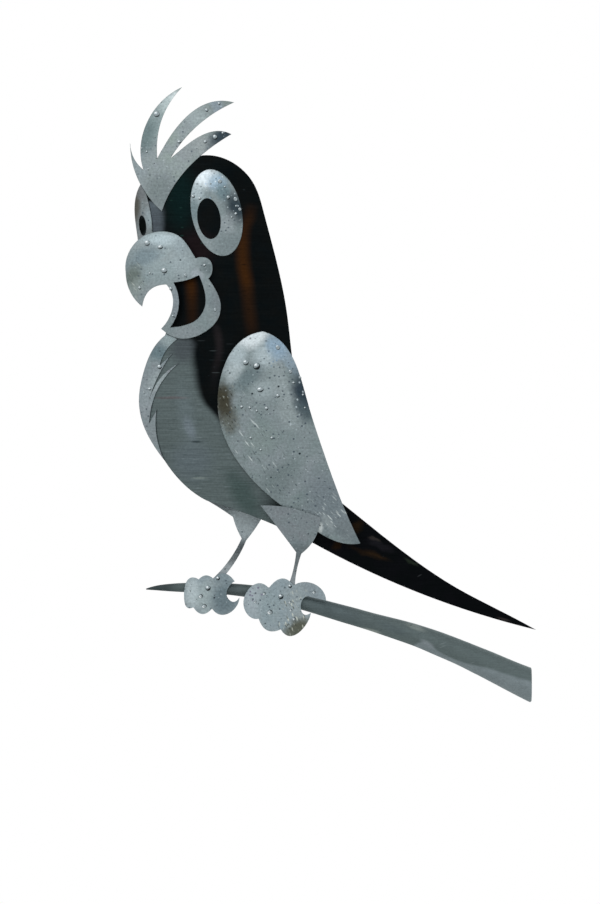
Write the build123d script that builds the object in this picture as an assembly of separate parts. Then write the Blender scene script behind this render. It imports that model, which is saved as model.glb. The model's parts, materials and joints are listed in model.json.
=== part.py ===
from build123d import *
import os
from dataclasses import dataclass
from math import asin, atan2, cos, degrees, radians, sin, sqrt

# A crested parrot of layered sheet steel, standing on a tapered perch arm.
# Millimetres. +X runs along the perch to its thick end, -Y is the bird's face side, +Z is up.
# The origin is the centre of the perch's cut end face, where the arm is fastened.

# Sheet and plate thicknesses
SKIN = 1.2
LEG_SHEET = 1.5
TAIL_SHEET = 2.0
FOOT_SHEET = 2.0

# Threads are drawn as plain rods of their nominal size
M3 = 1.5
STUD_HOLE = 1.55
M3_NUT_ACROSS_FLATS = 5.5
M3_NUT_HEIGHT = 2.4
ACORN_HEIGHT = 3.0
M3_HEAD_RADIUS = 2.7
SCREW_HEAD_HEIGHT = 1.6
TAIL_BOLT_COLLAR = 1.0
TAIL_BOLT_DOME = 1.2
STUD_PAST_SKIN = 5
SPACER_RADIUS = 2.8
STANDOFF_RADIUS = 2.6
NEAR_LEG_STANDOFF_RADIUS = 2.2
RIVET_SHANK_RADIUS = 0.9
FOOT_BOLT_PAST_PLATE = 3.4
FOOT_RIVET_RADIUS = 2.0
FOOT_RIVET_HEIGHT = 1.3
ANKLE_RIVET_RADIUS = 1.5
ANKLE_RIVET_HEIGHT = 0.9
MOUNT_THREAD_RADIUS = 3.4
MOUNT_THREAD_DEPTH = 14
PERCH_END_ROUND = 1.2

# Shoulder bearing of each wing
PIVOT = (-206, 238.5)
BUSH_RADIUS = 2.2
WING_BORE = BUSH_RADIUS + 0.06
BUSH_FLANGE_RADIUS = 5
BUSH_FACE = 18.6
HUB_FACE = 18.9
HUB_PLATE = 1.5
HUB_RADIUS = 14.5
HUB_BOSS_RADIUS = 5
HUB_BOSS_FRONT = 30
SHOULDER_SPACER_RADIUS = 4
CAP_FACE = 25.3
CAP_RADIUS = 2.6
CAP_HEIGHT = 1.8
SWING = 30
LIMIT_PIN_RADIUS = 1.2
LIMIT_ORBIT = 10.5
LIMIT_GAP = 0.3
LIMIT_REST_ANGLE = 40

# Half the depth within which every piece of the bird lies, with room to spare
OUTSIDE = 60

# Leg planes, measured from the mid-plane of the body
NEAR_LEG_FACE = 28.5
FAR_LEG_FACE = 14.8
NEAR_FOOT_BACK = 6.0
FAR_FOOT_BACK = 4.6

# Perch: x, z and radius of its round sections, from the point to past the cut end
PERCH_SECTIONS = [
    (-289, 71.6, 0.4),
    (-272, 72.8, 2.8),
    (-240, 72.3, 4.0),
    (-200, 68.2, 5.0),
    (-160, 58.5, 5.9),
    (-120, 47.0, 6.9),
    (-80, 34.5, 8.4),
    (-40, 18.0, 9.9),
    (-4, 1.4, 11.9),
    (22, -9.8, 13.2),
]

# Where fasteners pass through, as x and z
BODY_STUDS = [(-240, 374), (-226, 338), (-196, 130), (-189.5, 124)]
HIP_STUDS = BODY_STUDS[2:]
EYE_LONG_STUDS = BODY_STUDS[:2]
CREST_STUDS = [(-282, 374), (-270, 381), (-279, 363)]
FAR_EYE_STUDS = [(-291.5, 363), (-288, 336)]
BIB_STUDS = [(-282.5, 235), (-273.6, 254)]
BEAK_STUDS = [(-279, 327), (-259, 322), (-246, 312), (-257, 264.5)]
FAR_LEG_SCREWS = [(-230, 146), (-215.5, 140)]
TAIL_BOLTS = [(-177.5, 149), (-177.5, 134)]
NEAR_FOOT_BOLT = (-188, 66.2)
FAR_FOOT_BOLT = (-242.5, 72.4)
NEAR_ANKLE = (-181, 74)
FAR_ANKLE = (-235, 79.8)


@dataclass(frozen=True)
class Barrel:
    """A sheet form that bulges gently towards the front, both along and across."""

    centre: tuple
    lean: float
    crown: float
    across: float
    along: float
    half_width: float
    half_length: float

    def depth(self, x, z, offset=0.0):
        """How far in front of the mid-plane the form's outside lies at x and z."""
        tilt = radians(self.lean)
        dx = x - self.centre[0]
        dz = z - self.centre[1]
        side = dx * cos(tilt) + dz * sin(tilt)
        up = dz * cos(tilt) - dx * sin(tilt)
        reach = sqrt((self.along + offset) ** 2 - up**2) - self.along + self.across
        return self.crown - self.across + sqrt(reach**2 - side**2)

    def layer(self, inner, outer):
        """Solid between two offsets from the form's outside, positive towards the front."""
        h = self.half_length
        centre = self.along - self.across

        def end(offset):
            return centre - sqrt((self.along + offset) ** 2 - h**2)

        section = make_face(
            [
                ThreePointArc((end(outer), -h), (-self.across - outer, 0), (end(outer), h)),
                Line((end(outer), h), (end(inner), h)),
                ThreePointArc((end(inner), h), (-self.across - inner, 0), (end(inner), -h)),
                Line((end(inner), -h), (end(outer), -h)),
            ]
        )
        spread = degrees(asin(self.half_width / self.across))
        blank = revolve(Plane.YZ * section, axis=Axis.Z, revolution_arc=2 * spread)
        stance = Pos(self.centre[0], self.across - self.crown, self.centre[1]) * Rot(0, -self.lean, 0)
        return stance * Rot(0, 0, -spread) * blank


BODY = Barrel((-228.5, 251), 7, 18, 200, 1200, 90, 215)
WING = Barrel((-189.5, 190), 18.6, 25.5, 170, 2500, 70, 110)
BEAK = Barrel((-262, 300), 0, 26, 120, 160, 60, 60)


def outline(*runs):
    """Closed face seen from the front: each run is one smooth edge to the next run's start."""
    edges = []
    for index, run in enumerate(runs):
        points = run + [runs[(index + 1) % len(runs)][0]]
        edges.append(Line(*points) if len(points) == 2 else Spline(*points))
    return Plane.XZ * make_face(edges)


def inset(face, gap, stations=8):
    """The same outline drawn smaller by an even gap, its edges redrawn as plain curves."""
    edges = []
    for edge in offset(face, amount=-gap).edges():
        points = [edge.position_at(step / stations) for step in range(stations + 1)]
        edges.append(Spline(*points) if edge.length > gap else Line(points[0], points[-1]))
    return make_face(edges)


def egg(centre, half_height, half_width, lean):
    """Ellipse seen from the front, its top leaning towards -X."""
    return Plane.XZ * Pos(*centre) * Rot(0, 0, lean) * Ellipse(half_width, half_height)


def prism(face, front=-OUTSIDE, back=OUTSIDE):
    """A front outline given depth between two y levels."""
    return Pos(0, back, 0) * extrude(face, back - front)


def sheet(face, form, inner=0.0, outer=SKIN):
    """A plate cut to a front outline out of a layer of a form."""
    return form.layer(inner, outer) & prism(face)


def rod(place, radius, front, back):
    """Round bar along Y between two y levels."""
    x, z = place
    return extrude(Plane(origin=(x, back, z), z_dir=(0, -1, 0)) * Circle(radius), back - front)


def tube(place, radius, bore, front, back):
    """Round tube along Y between two y levels."""
    return rod(place, radius, front, back) - rod(place, bore, front, back)


def nut(place, front, back, bore=M3):
    """Plain hexagon nut along Y."""
    x, z = place
    circumradius = M3_NUT_ACROSS_FLATS / 2 / cos(radians(30))
    hexagon = RegularPolygon(circumradius, 6) - Circle(bore)
    return extrude(Plane(origin=(x, back, z), z_dir=(0, -1, 0)) * hexagon, back - front)


def dome(place, face, radius, height, direction=-1):
    """Low domed head whose flat side is at y = face, bulging along direction."""
    x, z = place
    ball = (radius**2 + height**2) / (2 * height)
    section = make_face(
        [
            Line((0, 0), (radius, 0)),
            RadiusArc((radius, 0), (0, height), -ball),
            Line((0, height), (0, 0)),
        ]
    )
    head = revolve(section, axis=Axis.Y)
    return Pos(x, face, z) * Rot(0, 0, 180 if direction < 0 else 0) * head


def drill(part, places, radius):
    """Cut round holes along Y right through a part."""
    for place in places:
        part = part - rod(place, radius, -OUTSIDE, OUTSIDE)
    return part


def group(*pieces):
    """Several separate solids of the same kind, kept as one node."""
    return Compound(children=[solid for piece in pieces for solid in piece.solids()])


def to_back(part):
    """The same part on the other side of the bird."""
    return mirror(part, about=Plane.XZ)


# ---------------------------------------------------------------- outlines


def body_outline():
    return outline(
        [(-246.5, 396.6), (-225, 391.8), (-209.2, 377), (-200.6, 353.5), (-191.2, 317.5),
         (-183.2, 277.5), (-179.8, 248), (-175.5, 217), (-169, 172), (-171, 127)],
        [(-182, 115.8)],
        [(-190, 118.5), (-218.5, 130)],
        [(-243.5, 138), (-256.8, 146.8), (-270.8, 161.8), (-280.3, 176.5), (-289.5, 194.5),
         (-292.8, 213), (-291, 229), (-284.5, 246)],
        [(-274.5, 262), (-271.2, 270), (-266.3, 284.5)],
        [(-272, 300.5), (-281, 317)],
        [(-294, 333), (-296.6, 348.5), (-296.8, 361), (-292.5, 374.5)],
        [(-291.5, 375.8), (-273, 387.5)],
    )


def crest_outline():
    return outline(
        [(-277, 354.5), (-286, 364)],
        [(-294, 376.5), (-299.5, 392)],
        [(-301, 407), (-298.5, 395.5)],
        [(-291, 386), (-293, 404.5), (-284.5, 428.5)],
        [(-262, 448), (-276.5, 425.5)],
        [(-280.5, 394.5), (-266.5, 417), (-245, 435)],
        [(-223, 436.5), (-248.5, 420.5)],
        [(-270.5, 394.5), (-259.5, 403.6), (-250.3, 410), (-238.5, 414.6)],
        [(-225, 412.5), (-247, 397), (-263.5, 380)],
    )


def far_eye_outline():
    eye = outline(
        [(-292, 376.5), (-295.8, 369), (-297.5, 360), (-297.3, 350)],
        [(-295, 332.5)],
        [(-284, 338), (-286, 356.5)],
    )
    return eye - egg((-291.5, 344), 7.5, 2.6, 6) - crest_outline()


def near_eye_outline():
    return egg((-236, 353.5), 33, 18.8, 12) - egg((-241.7, 349), 15.3, 8.6, 8)


def beak_outline():
    beak = outline(
        [(-304, 309), (-301, 325), (-292, 335), (-278.5, 339.3), (-264, 335.8), (-256, 326.5)],
        [(-251.5, 319), (-246, 320), (-241.3, 318), (-239, 312.5)],
        [(-242, 304), (-237, 296.3), (-232.8, 284), (-234.6, 274.5), (-246.5, 263), (-260.5, 259)],
        [(-273, 263)],
        [(-277.5, 266.5), (-270, 278), (-268.7, 290)],
        [(-273.5, 299.5), (-285, 296)],
        [(-291.5, 283), (-300, 293)],
    )
    mouth = outline(
        [(-268, 301), (-257.5, 303)],
        [(-249, 306.5), (-245.3, 296), (-244.6, 283.5), (-251, 273.2), (-261.5, 268.7)],
        [(-270.5, 267.5), (-264, 285.5)],
    )
    return beak - mouth


def bib_outline():
    return outline(
        [(-265, 259), (-274, 250)],
        [(-278.5, 239.5), (-274, 243.5)],
        [(-269.5, 248), (-280, 230.5)],
        [(-286, 215.5), (-278, 230)],
        [(-264, 241), (-279.5, 222.5)],
        [(-286.5, 196)],
        [(-281, 206), (-281, 186.5)],
        [(-275.3, 168.3), (-285.2, 182.5), (-291.8, 197), (-294.3, 213), (-291, 233.5), (-282, 254)],
        [(-273.5, 262.5)],
    )


def wing_outline():
    return outline(
        [(-201.5, 264.5), (-187, 256.3), (-175.5, 237), (-168, 212), (-155, 171.5), (-143.6, 140)],
        [(-128.5, 106), (-144.5, 107), (-160, 114.5)],
        [(-185.5, 133), (-215.5, 161), (-234, 198.5), (-233, 230), (-220, 255.5)],
    )


def near_leg_outline():
    return outline(
        [(-203, 134.5), (-182.5, 133)],
        [(-158.5, 125.5), (-161.5, 112)],
        [(-172.5, 98.5), (-176, 86)],
        [(-177.5, 71.5)],
        [(-183.5, 71.5), (-178.5, 87)],
        [(-176.5, 99.5), (-186.5, 113)],
    )


def far_leg_outline():
    return outline(
        [(-243.5, 138), (-230.5, 130)],
        [(-224, 125.5), (-221, 116.5)],
        [(-217.5, 109.5), (-227, 93)],
        [(-239, 79.5)],
        [(-238, 77.5)],
        [(-234, 77.5), (-222.3, 92)],
        [(-214, 108), (-207.5, 116.5)],
        [(-203, 123.5), (-211, 146), (-231, 153)],
    )


def near_foot_outline():
    return outline(
        [(-197, 72.5), (-205.5, 76), (-216, 61), (-209.5, 50)],
        [(-204.5, 49.5), (-197.5, 40.5)],
        [(-188, 41.5), (-180.5, 36.5), (-171, 42.5)],
        [(-165.5, 54), (-171, 53), (-173, 59.5)],
        [(-167.5, 66.3)],
        [(-154, 63), (-161, 74.5), (-170, 77)],
        [(-178.5, 74.5), (-185, 79.5)],
    )


def far_foot_outline():
    return outline(
        [(-249.5, 79), (-256, 80), (-260.5, 67), (-257.5, 57.5)],
        [(-253.5, 58), (-247, 53)],
        [(-239.5, 57), (-230, 52.5), (-222.5, 57)],
        [(-219, 65.5), (-225, 62.5), (-228.5, 67), (-226.5, 74)],
        [(-222.5, 77.5), (-231.5, 83.5)],
        [(-238.5, 79.5), (-244, 82)],
    )


def tail_outline():
    return outline(
        [(-185, 160), (-162.5, 153)],
        [(-142, 136), (-100, 102.5), (-53.5, 71), (-31, 59.2)],
        [(3.5, 41), (-46, 55), (-113.5, 81)],
        [(-164.5, 106.5), (-185, 123.5)],
    )


# ---------------------------------------------------------------- body


def hollow():
    """The space between the two skins."""
    front = BODY.layer(-OUTSIDE, -SKIN)
    return front & to_back(front)


def front_shell():
    shell = sheet(body_outline(), BODY, -SKIN, 0)
    short_studs = CREST_STUDS + FAR_EYE_STUDS + BIB_STUDS + BEAK_STUDS
    shell = drill(shell, short_studs + BODY_STUDS + TAIL_BOLTS + [PIVOT], STUD_HOLE)
    return drill(shell, [limit_pin_place()], LIMIT_PIN_RADIUS)


def back_shell():
    shell = to_back(sheet(body_outline(), BODY, -SKIN, 0))
    shell = drill(shell, FAR_LEG_SCREWS + BODY_STUDS + TAIL_BOLTS + [PIVOT], STUD_HOLE)
    return drill(shell, [limit_pin_place()], LIMIT_PIN_RADIUS)


def rim_band():
    """Strip that follows the outline between the skins, slotted where the tail passes."""
    face = body_outline()
    strip = prism(face) - prism(inset(face, SKIN))
    tail_slot = prism(tail_outline(), -TAIL_SHEET / 2, TAIL_SHEET / 2)
    return (strip & hollow()) - tail_slot


def between_skins(place, radius, bore):
    """Spacer tube that reaches from one skin to the other."""
    return tube(place, radius, bore, -OUTSIDE, OUTSIDE) & hollow()


def body_spacers():
    return group(*[between_skins(place, SPACER_RADIUS, M3) for place in BODY_STUDS])


def body_studs():
    """Long studs, fixed to the backs of the near eye and the near leg."""
    studs = []
    for place in EYE_LONG_STUDS:
        studs.append(rod(place, M3, -BODY.depth(*place), BODY.depth(*place) + STUD_PAST_SKIN))
    for place in HIP_STUDS:
        studs.append(rod(place, M3, -NEAR_LEG_FACE + LEG_SHEET, BODY.depth(*place) + STUD_PAST_SKIN))
    return group(*[stud - near_eye_plate() for stud in studs])


def on_back_skin(shape):
    """A fastener seated on the outside of the back skin."""
    return shape - to_back(BODY.layer(-OUTSIDE, 0))


def on_front_skin(shape):
    """A fastener seated on the outside of the front skin."""
    return shape - BODY.layer(-OUTSIDE, 0)


def acorn_nut(place):
    """Domed nut on the back skin."""
    x, z = place
    seat = BODY.depth(x, z)
    face = seat + ACORN_HEIGHT
    body = nut(place, seat - ACORN_HEIGHT, face)
    cap = dome(place, face, M3_HEAD_RADIUS, M3_HEAD_RADIUS, 1) - rod(place, M3, 0, seat + STUD_PAST_SKIN)
    return on_back_skin(body + cap)


def back_acorn_nuts():
    return group(*[acorn_nut(place) for place in BODY_STUDS])


# ---------------------------------------------------------------- applied plates


def crest_plate():
    return sheet(crest_outline(), BODY)


def near_eye_plate():
    return sheet(near_eye_outline(), BODY)


def far_eye_plate():
    return sheet(far_eye_outline(), BODY)


def breast_bib():
    return sheet(bib_outline(), BODY)


def beak_plate():
    return sheet(beak_outline(), BEAK, -SKIN, 0)


def beak_gap():
    """The space between the front skin and the back of the beak plate."""
    return BEAK.layer(-OUTSIDE, -SKIN) - BODY.layer(-OUTSIDE, 0)


def beak_standoffs():
    return group(*[tube(place, STANDOFF_RADIUS, M3, -OUTSIDE, 0) & beak_gap() for place in BEAK_STUDS])


def plate_studs():
    """Short studs, one end on the back of each plate and the other inside the body."""
    studs = []
    for x, z in CREST_STUDS + FAR_EYE_STUDS + BIB_STUDS:
        inside = -BODY.depth(x, z) + STUD_PAST_SKIN
        studs.append(rod((x, z), M3, -OUTSIDE, inside) & BODY.layer(-OUTSIDE, 0))
    for x, z in BEAK_STUDS:
        inside = -BODY.depth(x, z) + STUD_PAST_SKIN
        studs.append(rod((x, z), M3, -OUTSIDE, inside) & BEAK.layer(-OUTSIDE, -SKIN))
    return group(*studs)


def plate_nuts():
    """Nuts on the inside of the front skin."""
    nuts = []
    for x, z in CREST_STUDS + FAR_EYE_STUDS + BIB_STUDS + BEAK_STUDS:
        inner = -BODY.depth(x, z) + SKIN
        nuts.append(nut((x, z), inner - SKIN, inner + M3_NUT_HEIGHT) & hollow())
    return group(*nuts)


# ---------------------------------------------------------------- tail


def tail_blade():
    blade = prism(tail_outline(), -TAIL_SHEET / 2, TAIL_SHEET / 2)
    return drill(blade, TAIL_BOLTS, STUD_HOLE)


def tail_spacers():
    """Tubes that centre the tail blade between the skins."""
    gap = hollow() - prism(tail_outline(), -TAIL_SHEET / 2, TAIL_SHEET / 2)
    return group(*[tube(place, SPACER_RADIUS, M3, -OUTSIDE, OUTSIDE) & gap for place in TAIL_BOLTS])


def tail_bolts():
    bolts = []
    for place in TAIL_BOLTS:
        seat = BODY.depth(*place)
        face = -seat - TAIL_BOLT_COLLAR
        shank = rod(place, M3, face, seat + M3_NUT_HEIGHT + SCREW_HEAD_HEIGHT)
        collar = on_front_skin(rod(place, M3_HEAD_RADIUS, face, 0))
        bolts.append(collar + dome(place, face, M3_HEAD_RADIUS, TAIL_BOLT_DOME) + shank)
    return group(*bolts)


def tail_nuts():
    nuts = []
    for place in TAIL_BOLTS:
        seat = BODY.depth(*place)
        nuts.append(on_back_skin(nut(place, seat - SKIN, seat + M3_NUT_HEIGHT)))
    return group(*nuts)


# ---------------------------------------------------------------- wings and shoulder


def limit_pin_place():
    """Where the pin that limits the swing stands, seen from the front."""
    angle = radians(LIMIT_REST_ANGLE)
    return (PIVOT[0] + LIMIT_ORBIT * cos(angle), PIVOT[1] + LIMIT_ORBIT * sin(angle))


def near_wing():
    return drill(sheet(wing_outline(), WING, -SKIN, 0), [PIVOT], WING_BORE)


def limit_slot():
    """Arc-shaped slot in the hub, as long as the wing may swing."""
    reach = LIMIT_PIN_RADIUS + LIMIT_GAP
    slack = degrees(LIMIT_GAP / LIMIT_ORBIT)
    arc = CenterArc((0, 0), LIMIT_ORBIT, LIMIT_REST_ANGLE + slack, -SWING - 2 * slack)
    return Plane.XZ * Pos(*PIVOT) * SlotArc(arc, 2 * reach)


def near_wing_hub():
    """Disc with the limit slot, and a boss that carries the wing plate."""
    disc = rod(PIVOT, HUB_RADIUS, -HUB_FACE - HUB_PLATE, -HUB_FACE)
    boss = rod(PIVOT, HUB_BOSS_RADIUS, -HUB_BOSS_FRONT, -HUB_FACE - HUB_PLATE) - WING.layer(-SKIN, OUTSIDE)
    slot = prism(limit_slot(), -HUB_FACE - HUB_PLATE, -HUB_FACE)
    return drill(disc - slot + boss, [PIVOT], WING_BORE)


def near_shoulder_bush():
    """Flanged sleeve that the wing turns on."""
    flange = rod(PIVOT, BUSH_FLANGE_RADIUS, -BUSH_FACE, 0)
    sleeve = rod(PIVOT, BUSH_RADIUS, -CAP_FACE, -BUSH_FACE)
    return drill(on_front_skin(flange) + sleeve, [PIVOT], M3)


def shoulder_axle():
    return rod(PIVOT, M3, -CAP_FACE, CAP_FACE)


def shoulder_spacer():
    return between_skins(PIVOT, SHOULDER_SPACER_RADIUS, M3)


def axle_caps():
    cap = dome(PIVOT, -CAP_FACE, CAP_RADIUS, CAP_HEIGHT)
    return group(cap, to_back(cap))


def wing_limit_pins():
    """Pins that stand on each skin and run in the hub slots."""
    place = limit_pin_place()
    pin = rod(place, LIMIT_PIN_RADIUS, -HUB_FACE - HUB_PLATE, -BODY.depth(*place) + 2.5 * SKIN)
    return group(pin, to_back(pin))


# ---------------------------------------------------------------- legs, feet and perch


def bent_strip(levels, thickness, low, high):
    """Sheet bent in side view: straight at two y levels, joined by an S between two heights."""
    upper, lower = levels
    bend_low, bend_high = low[1], high[0]
    rise = bend_high - bend_low
    pull = 0.5 * rise

    def face_line(shift):
        return [
            Line((lower + shift, low[0]), (lower + shift, bend_low)),
            Bezier((lower + shift, bend_low), (lower + shift, bend_low + pull),
                   (upper + shift, bend_high - pull), (upper + shift, bend_high)),
            Line((upper + shift, bend_high), (upper + shift, high[1])),
        ]

    edges = face_line(0) + face_line(thickness)
    edges.append(Line((lower, low[0]), (lower + thickness, low[0])))
    edges.append(Line((upper, high[1]), (upper + thickness, high[1])))
    return Pos(-300, 0, 0) * extrude(Plane.YZ * make_face(edges), 200)


def near_leg():
    strip = bent_strip((-NEAR_LEG_FACE, -NEAR_FOOT_BACK), LEG_SHEET, (65, 78), (108, 145))
    return drill(strip & prism(near_leg_outline()), [NEAR_ANKLE], RIVET_SHANK_RADIUS)


def far_leg():
    strip = bent_strip((FAR_LEG_FACE, -FAR_FOOT_BACK), LEG_SHEET, (70, 84), (112, 158))
    leg = strip & prism(far_leg_outline())
    return drill(drill(leg, FAR_LEG_SCREWS, STUD_HOLE), [FAR_ANKLE], RIVET_SHANK_RADIUS)


def near_leg_standoffs():
    face = -NEAR_LEG_FACE + LEG_SHEET
    tubes = [tube(place, NEAR_LEG_STANDOFF_RADIUS, M3, face, 0) for place in HIP_STUDS]
    return group(*[on_front_skin(part) for part in tubes])


def far_leg_standoffs():
    tubes = [tube(place, STANDOFF_RADIUS, M3, 0, FAR_LEG_FACE) for place in FAR_LEG_SCREWS]
    return group(*[on_back_skin(part) for part in tubes])


def far_leg_screws():
    screws = []
    outside = FAR_LEG_FACE + LEG_SHEET
    for place in FAR_LEG_SCREWS:
        shank = rod(place, M3, BODY.depth(*place) - STUD_PAST_SKIN, outside)
        screws.append(shank + dome(place, outside, M3_HEAD_RADIUS, SCREW_HEAD_HEIGHT, 1))
    return group(*screws)


def far_leg_nuts():
    nuts = []
    for place in FAR_LEG_SCREWS:
        inner = BODY.depth(*place) - SKIN
        nuts.append(nut(place, inner - M3_NUT_HEIGHT, inner + SKIN) & hollow())
    return group(*nuts)


def foot_plate(face, back, bolt, ankle):
    plate = prism(face, -back - FOOT_SHEET, -back)
    return drill(drill(plate, [bolt], STUD_HOLE), [ankle], RIVET_SHANK_RADIUS)


def near_foot():
    return foot_plate(near_foot_outline(), NEAR_FOOT_BACK, NEAR_FOOT_BOLT, NEAR_ANKLE)


def far_foot():
    return foot_plate(far_foot_outline(), FAR_FOOT_BACK, FAR_FOOT_BOLT, FAR_ANKLE)


def rear_toes(toes, front, bolt):
    """Clamp plate behind the perch: merged toe lobes, each an x, z, half width and half height."""
    face = Sketch() + [Pos(x, z) * Ellipse(wide, high) for x, z, wide, high in toes]
    return drill(prism(Plane.XZ * face, front, front + FOOT_SHEET), [bolt], STUD_HOLE)


def near_rear_toes():
    toes = [(-205, 64, 8, 11), (-196, 62, 8, 7.5), (-187, 62, 9, 12)]
    return rear_toes(toes, NEAR_FOOT_BACK, NEAR_FOOT_BOLT)


def far_rear_toes():
    return rear_toes([(-245.5, 68.5, 7.5, 11.5), (-234.5, 68, 6, 11.5)], FAR_FOOT_BACK, FAR_FOOT_BOLT)


def foot_bolts():
    bolts = []
    for place, back in ((NEAR_FOOT_BOLT, NEAR_FOOT_BACK), (FAR_FOOT_BOLT, FAR_FOOT_BACK)):
        outside = back + FOOT_SHEET
        head = dome(place, -outside, FOOT_RIVET_RADIUS, FOOT_RIVET_HEIGHT)
        bolts.append(rod(place, M3, -outside, outside + FOOT_BOLT_PAST_PLATE) + head)
    return group(*bolts)


def foot_nuts():
    nuts = []
    for place, back in ((NEAR_FOOT_BOLT, NEAR_FOOT_BACK), (FAR_FOOT_BOLT, FAR_FOOT_BACK)):
        outside = back + FOOT_SHEET
        nuts.append(nut(place, outside, outside + M3_NUT_HEIGHT, M3))
    return group(*nuts)


def ankle_rivets():
    rivets = []
    for place, back in ((NEAR_ANKLE, NEAR_FOOT_BACK), (FAR_ANKLE, FAR_FOOT_BACK)):
        shank = rod(place, RIVET_SHANK_RADIUS, -back - FOOT_SHEET, -back + LEG_SHEET)
        front_head = dome(place, -back - FOOT_SHEET, ANKLE_RIVET_RADIUS, ANKLE_RIVET_HEIGHT)
        rivets.append(front_head + shank)
    return group(*rivets)


def perch():
    """Tapered round bar, lofted square to its gently bent centre line and cut upright at x = 0."""
    sections = []
    last = len(PERCH_SECTIONS) - 1
    for index, (x, z, radius) in enumerate(PERCH_SECTIONS):
        before = PERCH_SECTIONS[max(index - 1, 0)]
        after = PERCH_SECTIONS[min(index + 1, last)]
        slope = degrees(atan2(after[1] - before[1], after[0] - before[0]))
        heading = (cos(radians(slope)), 0, sin(radians(slope)))
        upright = Plane(origin=(x, 0, z), x_dir=(0, 1, 0), z_dir=heading)
        sections.append(upright * Circle(radius))
    bar = loft(sections)
    bar = bar - Pos(50, 0, 0) * Box(100, 100, 100)
    bar = fillet(bar.faces().sort_by(Axis.X)[-1].edges(), PERCH_END_ROUND)
    socket = Plane(origin=(0, 0, 0), z_dir=(-1, 0, 0)) * Circle(MOUNT_THREAD_RADIUS)
    bar = bar - extrude(socket, MOUNT_THREAD_DEPTH)
    return drill(bar, [NEAR_FOOT_BOLT, FAR_FOOT_BOLT], STUD_HOLE)


PIECES = {
    "perch": perch,
    "front_shell": front_shell,
    "back_shell": back_shell,
    "rim_band": rim_band,
    "body_spacers": body_spacers,
    "body_studs": body_studs,
    "back_acorn_nuts": back_acorn_nuts,
    "crest_plate": crest_plate,
    "near_eye_plate": near_eye_plate,
    "far_eye_plate": far_eye_plate,
    "beak_plate": beak_plate,
    "beak_standoffs": beak_standoffs,
    "breast_bib": breast_bib,
    "plate_studs": plate_studs,
    "plate_nuts": plate_nuts,
    "tail_blade": tail_blade,
    "tail_spacers": tail_spacers,
    "tail_bolts": tail_bolts,
    "tail_nuts": tail_nuts,
    "shoulder_axle": shoulder_axle,
    "shoulder_spacer": shoulder_spacer,
    "near_shoulder_bush": near_shoulder_bush,
    "far_shoulder_bush": lambda: to_back(near_shoulder_bush()),
    "axle_caps": axle_caps,
    "wing_limit_pins": wing_limit_pins,
    "near_wing": near_wing,
    "near_wing_hub": near_wing_hub,
    "far_wing": lambda: to_back(near_wing()),
    "far_wing_hub": lambda: to_back(near_wing_hub()),
    "near_leg": near_leg,
    "far_leg": far_leg,
    "near_leg_standoffs": near_leg_standoffs,
    "far_leg_standoffs": far_leg_standoffs,
    "far_leg_screws": far_leg_screws,
    "far_leg_nuts": far_leg_nuts,
    "near_foot": near_foot,
    "far_foot": far_foot,
    "near_rear_toes": near_rear_toes,
    "far_rear_toes": far_rear_toes,
    "foot_bolts": foot_bolts,
    "foot_nuts": foot_nuts,
    "ankle_rivets": ankle_rivets,
}

os.makedirs("parts", exist_ok=True)
for name, make in PIECES.items():
    piece = make()
    export_step(piece, "parts/" + name + ".step")
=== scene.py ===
import json
import logging
import math
import random
from collections.abc import Callable
from dataclasses import dataclass, field, replace
from enum import Enum

import bmesh
import bpy
from mathutils import Matrix, Vector, noise


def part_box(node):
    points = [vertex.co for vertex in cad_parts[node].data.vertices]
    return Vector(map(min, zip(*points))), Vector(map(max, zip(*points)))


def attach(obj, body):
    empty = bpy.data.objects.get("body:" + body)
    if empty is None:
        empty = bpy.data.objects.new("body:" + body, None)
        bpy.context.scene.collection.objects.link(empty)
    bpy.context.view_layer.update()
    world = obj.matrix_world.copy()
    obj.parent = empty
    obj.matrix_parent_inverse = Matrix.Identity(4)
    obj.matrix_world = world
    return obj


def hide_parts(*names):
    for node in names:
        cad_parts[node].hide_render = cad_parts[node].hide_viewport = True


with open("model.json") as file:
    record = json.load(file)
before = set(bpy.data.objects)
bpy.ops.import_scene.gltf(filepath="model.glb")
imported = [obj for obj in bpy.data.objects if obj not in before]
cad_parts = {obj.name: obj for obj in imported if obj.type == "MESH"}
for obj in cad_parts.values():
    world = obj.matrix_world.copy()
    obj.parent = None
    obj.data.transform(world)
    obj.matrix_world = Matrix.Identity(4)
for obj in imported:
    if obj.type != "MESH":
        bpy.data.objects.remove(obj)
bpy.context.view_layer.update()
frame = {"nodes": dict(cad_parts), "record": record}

logging.basicConfig(level=logging.INFO, format="%(levelname)s %(message)s")
log = logging.getLogger("parrot")

Material = bpy.types.Material
Mesh = bmesh.types.BMesh
Piece = bpy.types.Object
Socket = bpy.types.NodeSocket
Tree = bpy.types.NodeTree
Pair = tuple[float, float]
Triple = tuple[float, float, float]

MM = 0.001
SEED = 11

# Thickness of the sheet, and how far its sheared edges are broken, in millimetres
SKIN = 1.2
RIM_BREAK = 0.2

# Corners of loose triangles that are closer than this are joined, in millimetres
NODE_WELD = 0.002

# Waves per millimetre of a patch's wandering edge and of the fine grain of the steel
EDGE_WAVES = 0.12
GRAIN_WAVES = 0.55

# The soft ball that a patch is cut from: its size over the patch's, and how deep in it the cover is full
PATCH_SPREAD = 1.4
PATCH_FULL = 0.75

# How deep a patch and a cell of marks reach through the sheet, in millimetres
PATCH_DEPTH = 1000
CELL_DEPTH = 4

# Share of a mark's size that is covered in full
MARK_CORE = 0.45

# Length and spacing of the brushed lines, and height of the finest relief, in millimetres
BRUSH_LINE = (24, 0.9)
RELIEF = 0.12

# Values of a noise from which and up to which shade, colour and polish change
SHADE_BAND = (0.38, 0.62)
CLOUD_BAND = (0.35, 0.65)
POLISH_BAND = (0.3, 0.7)


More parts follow.
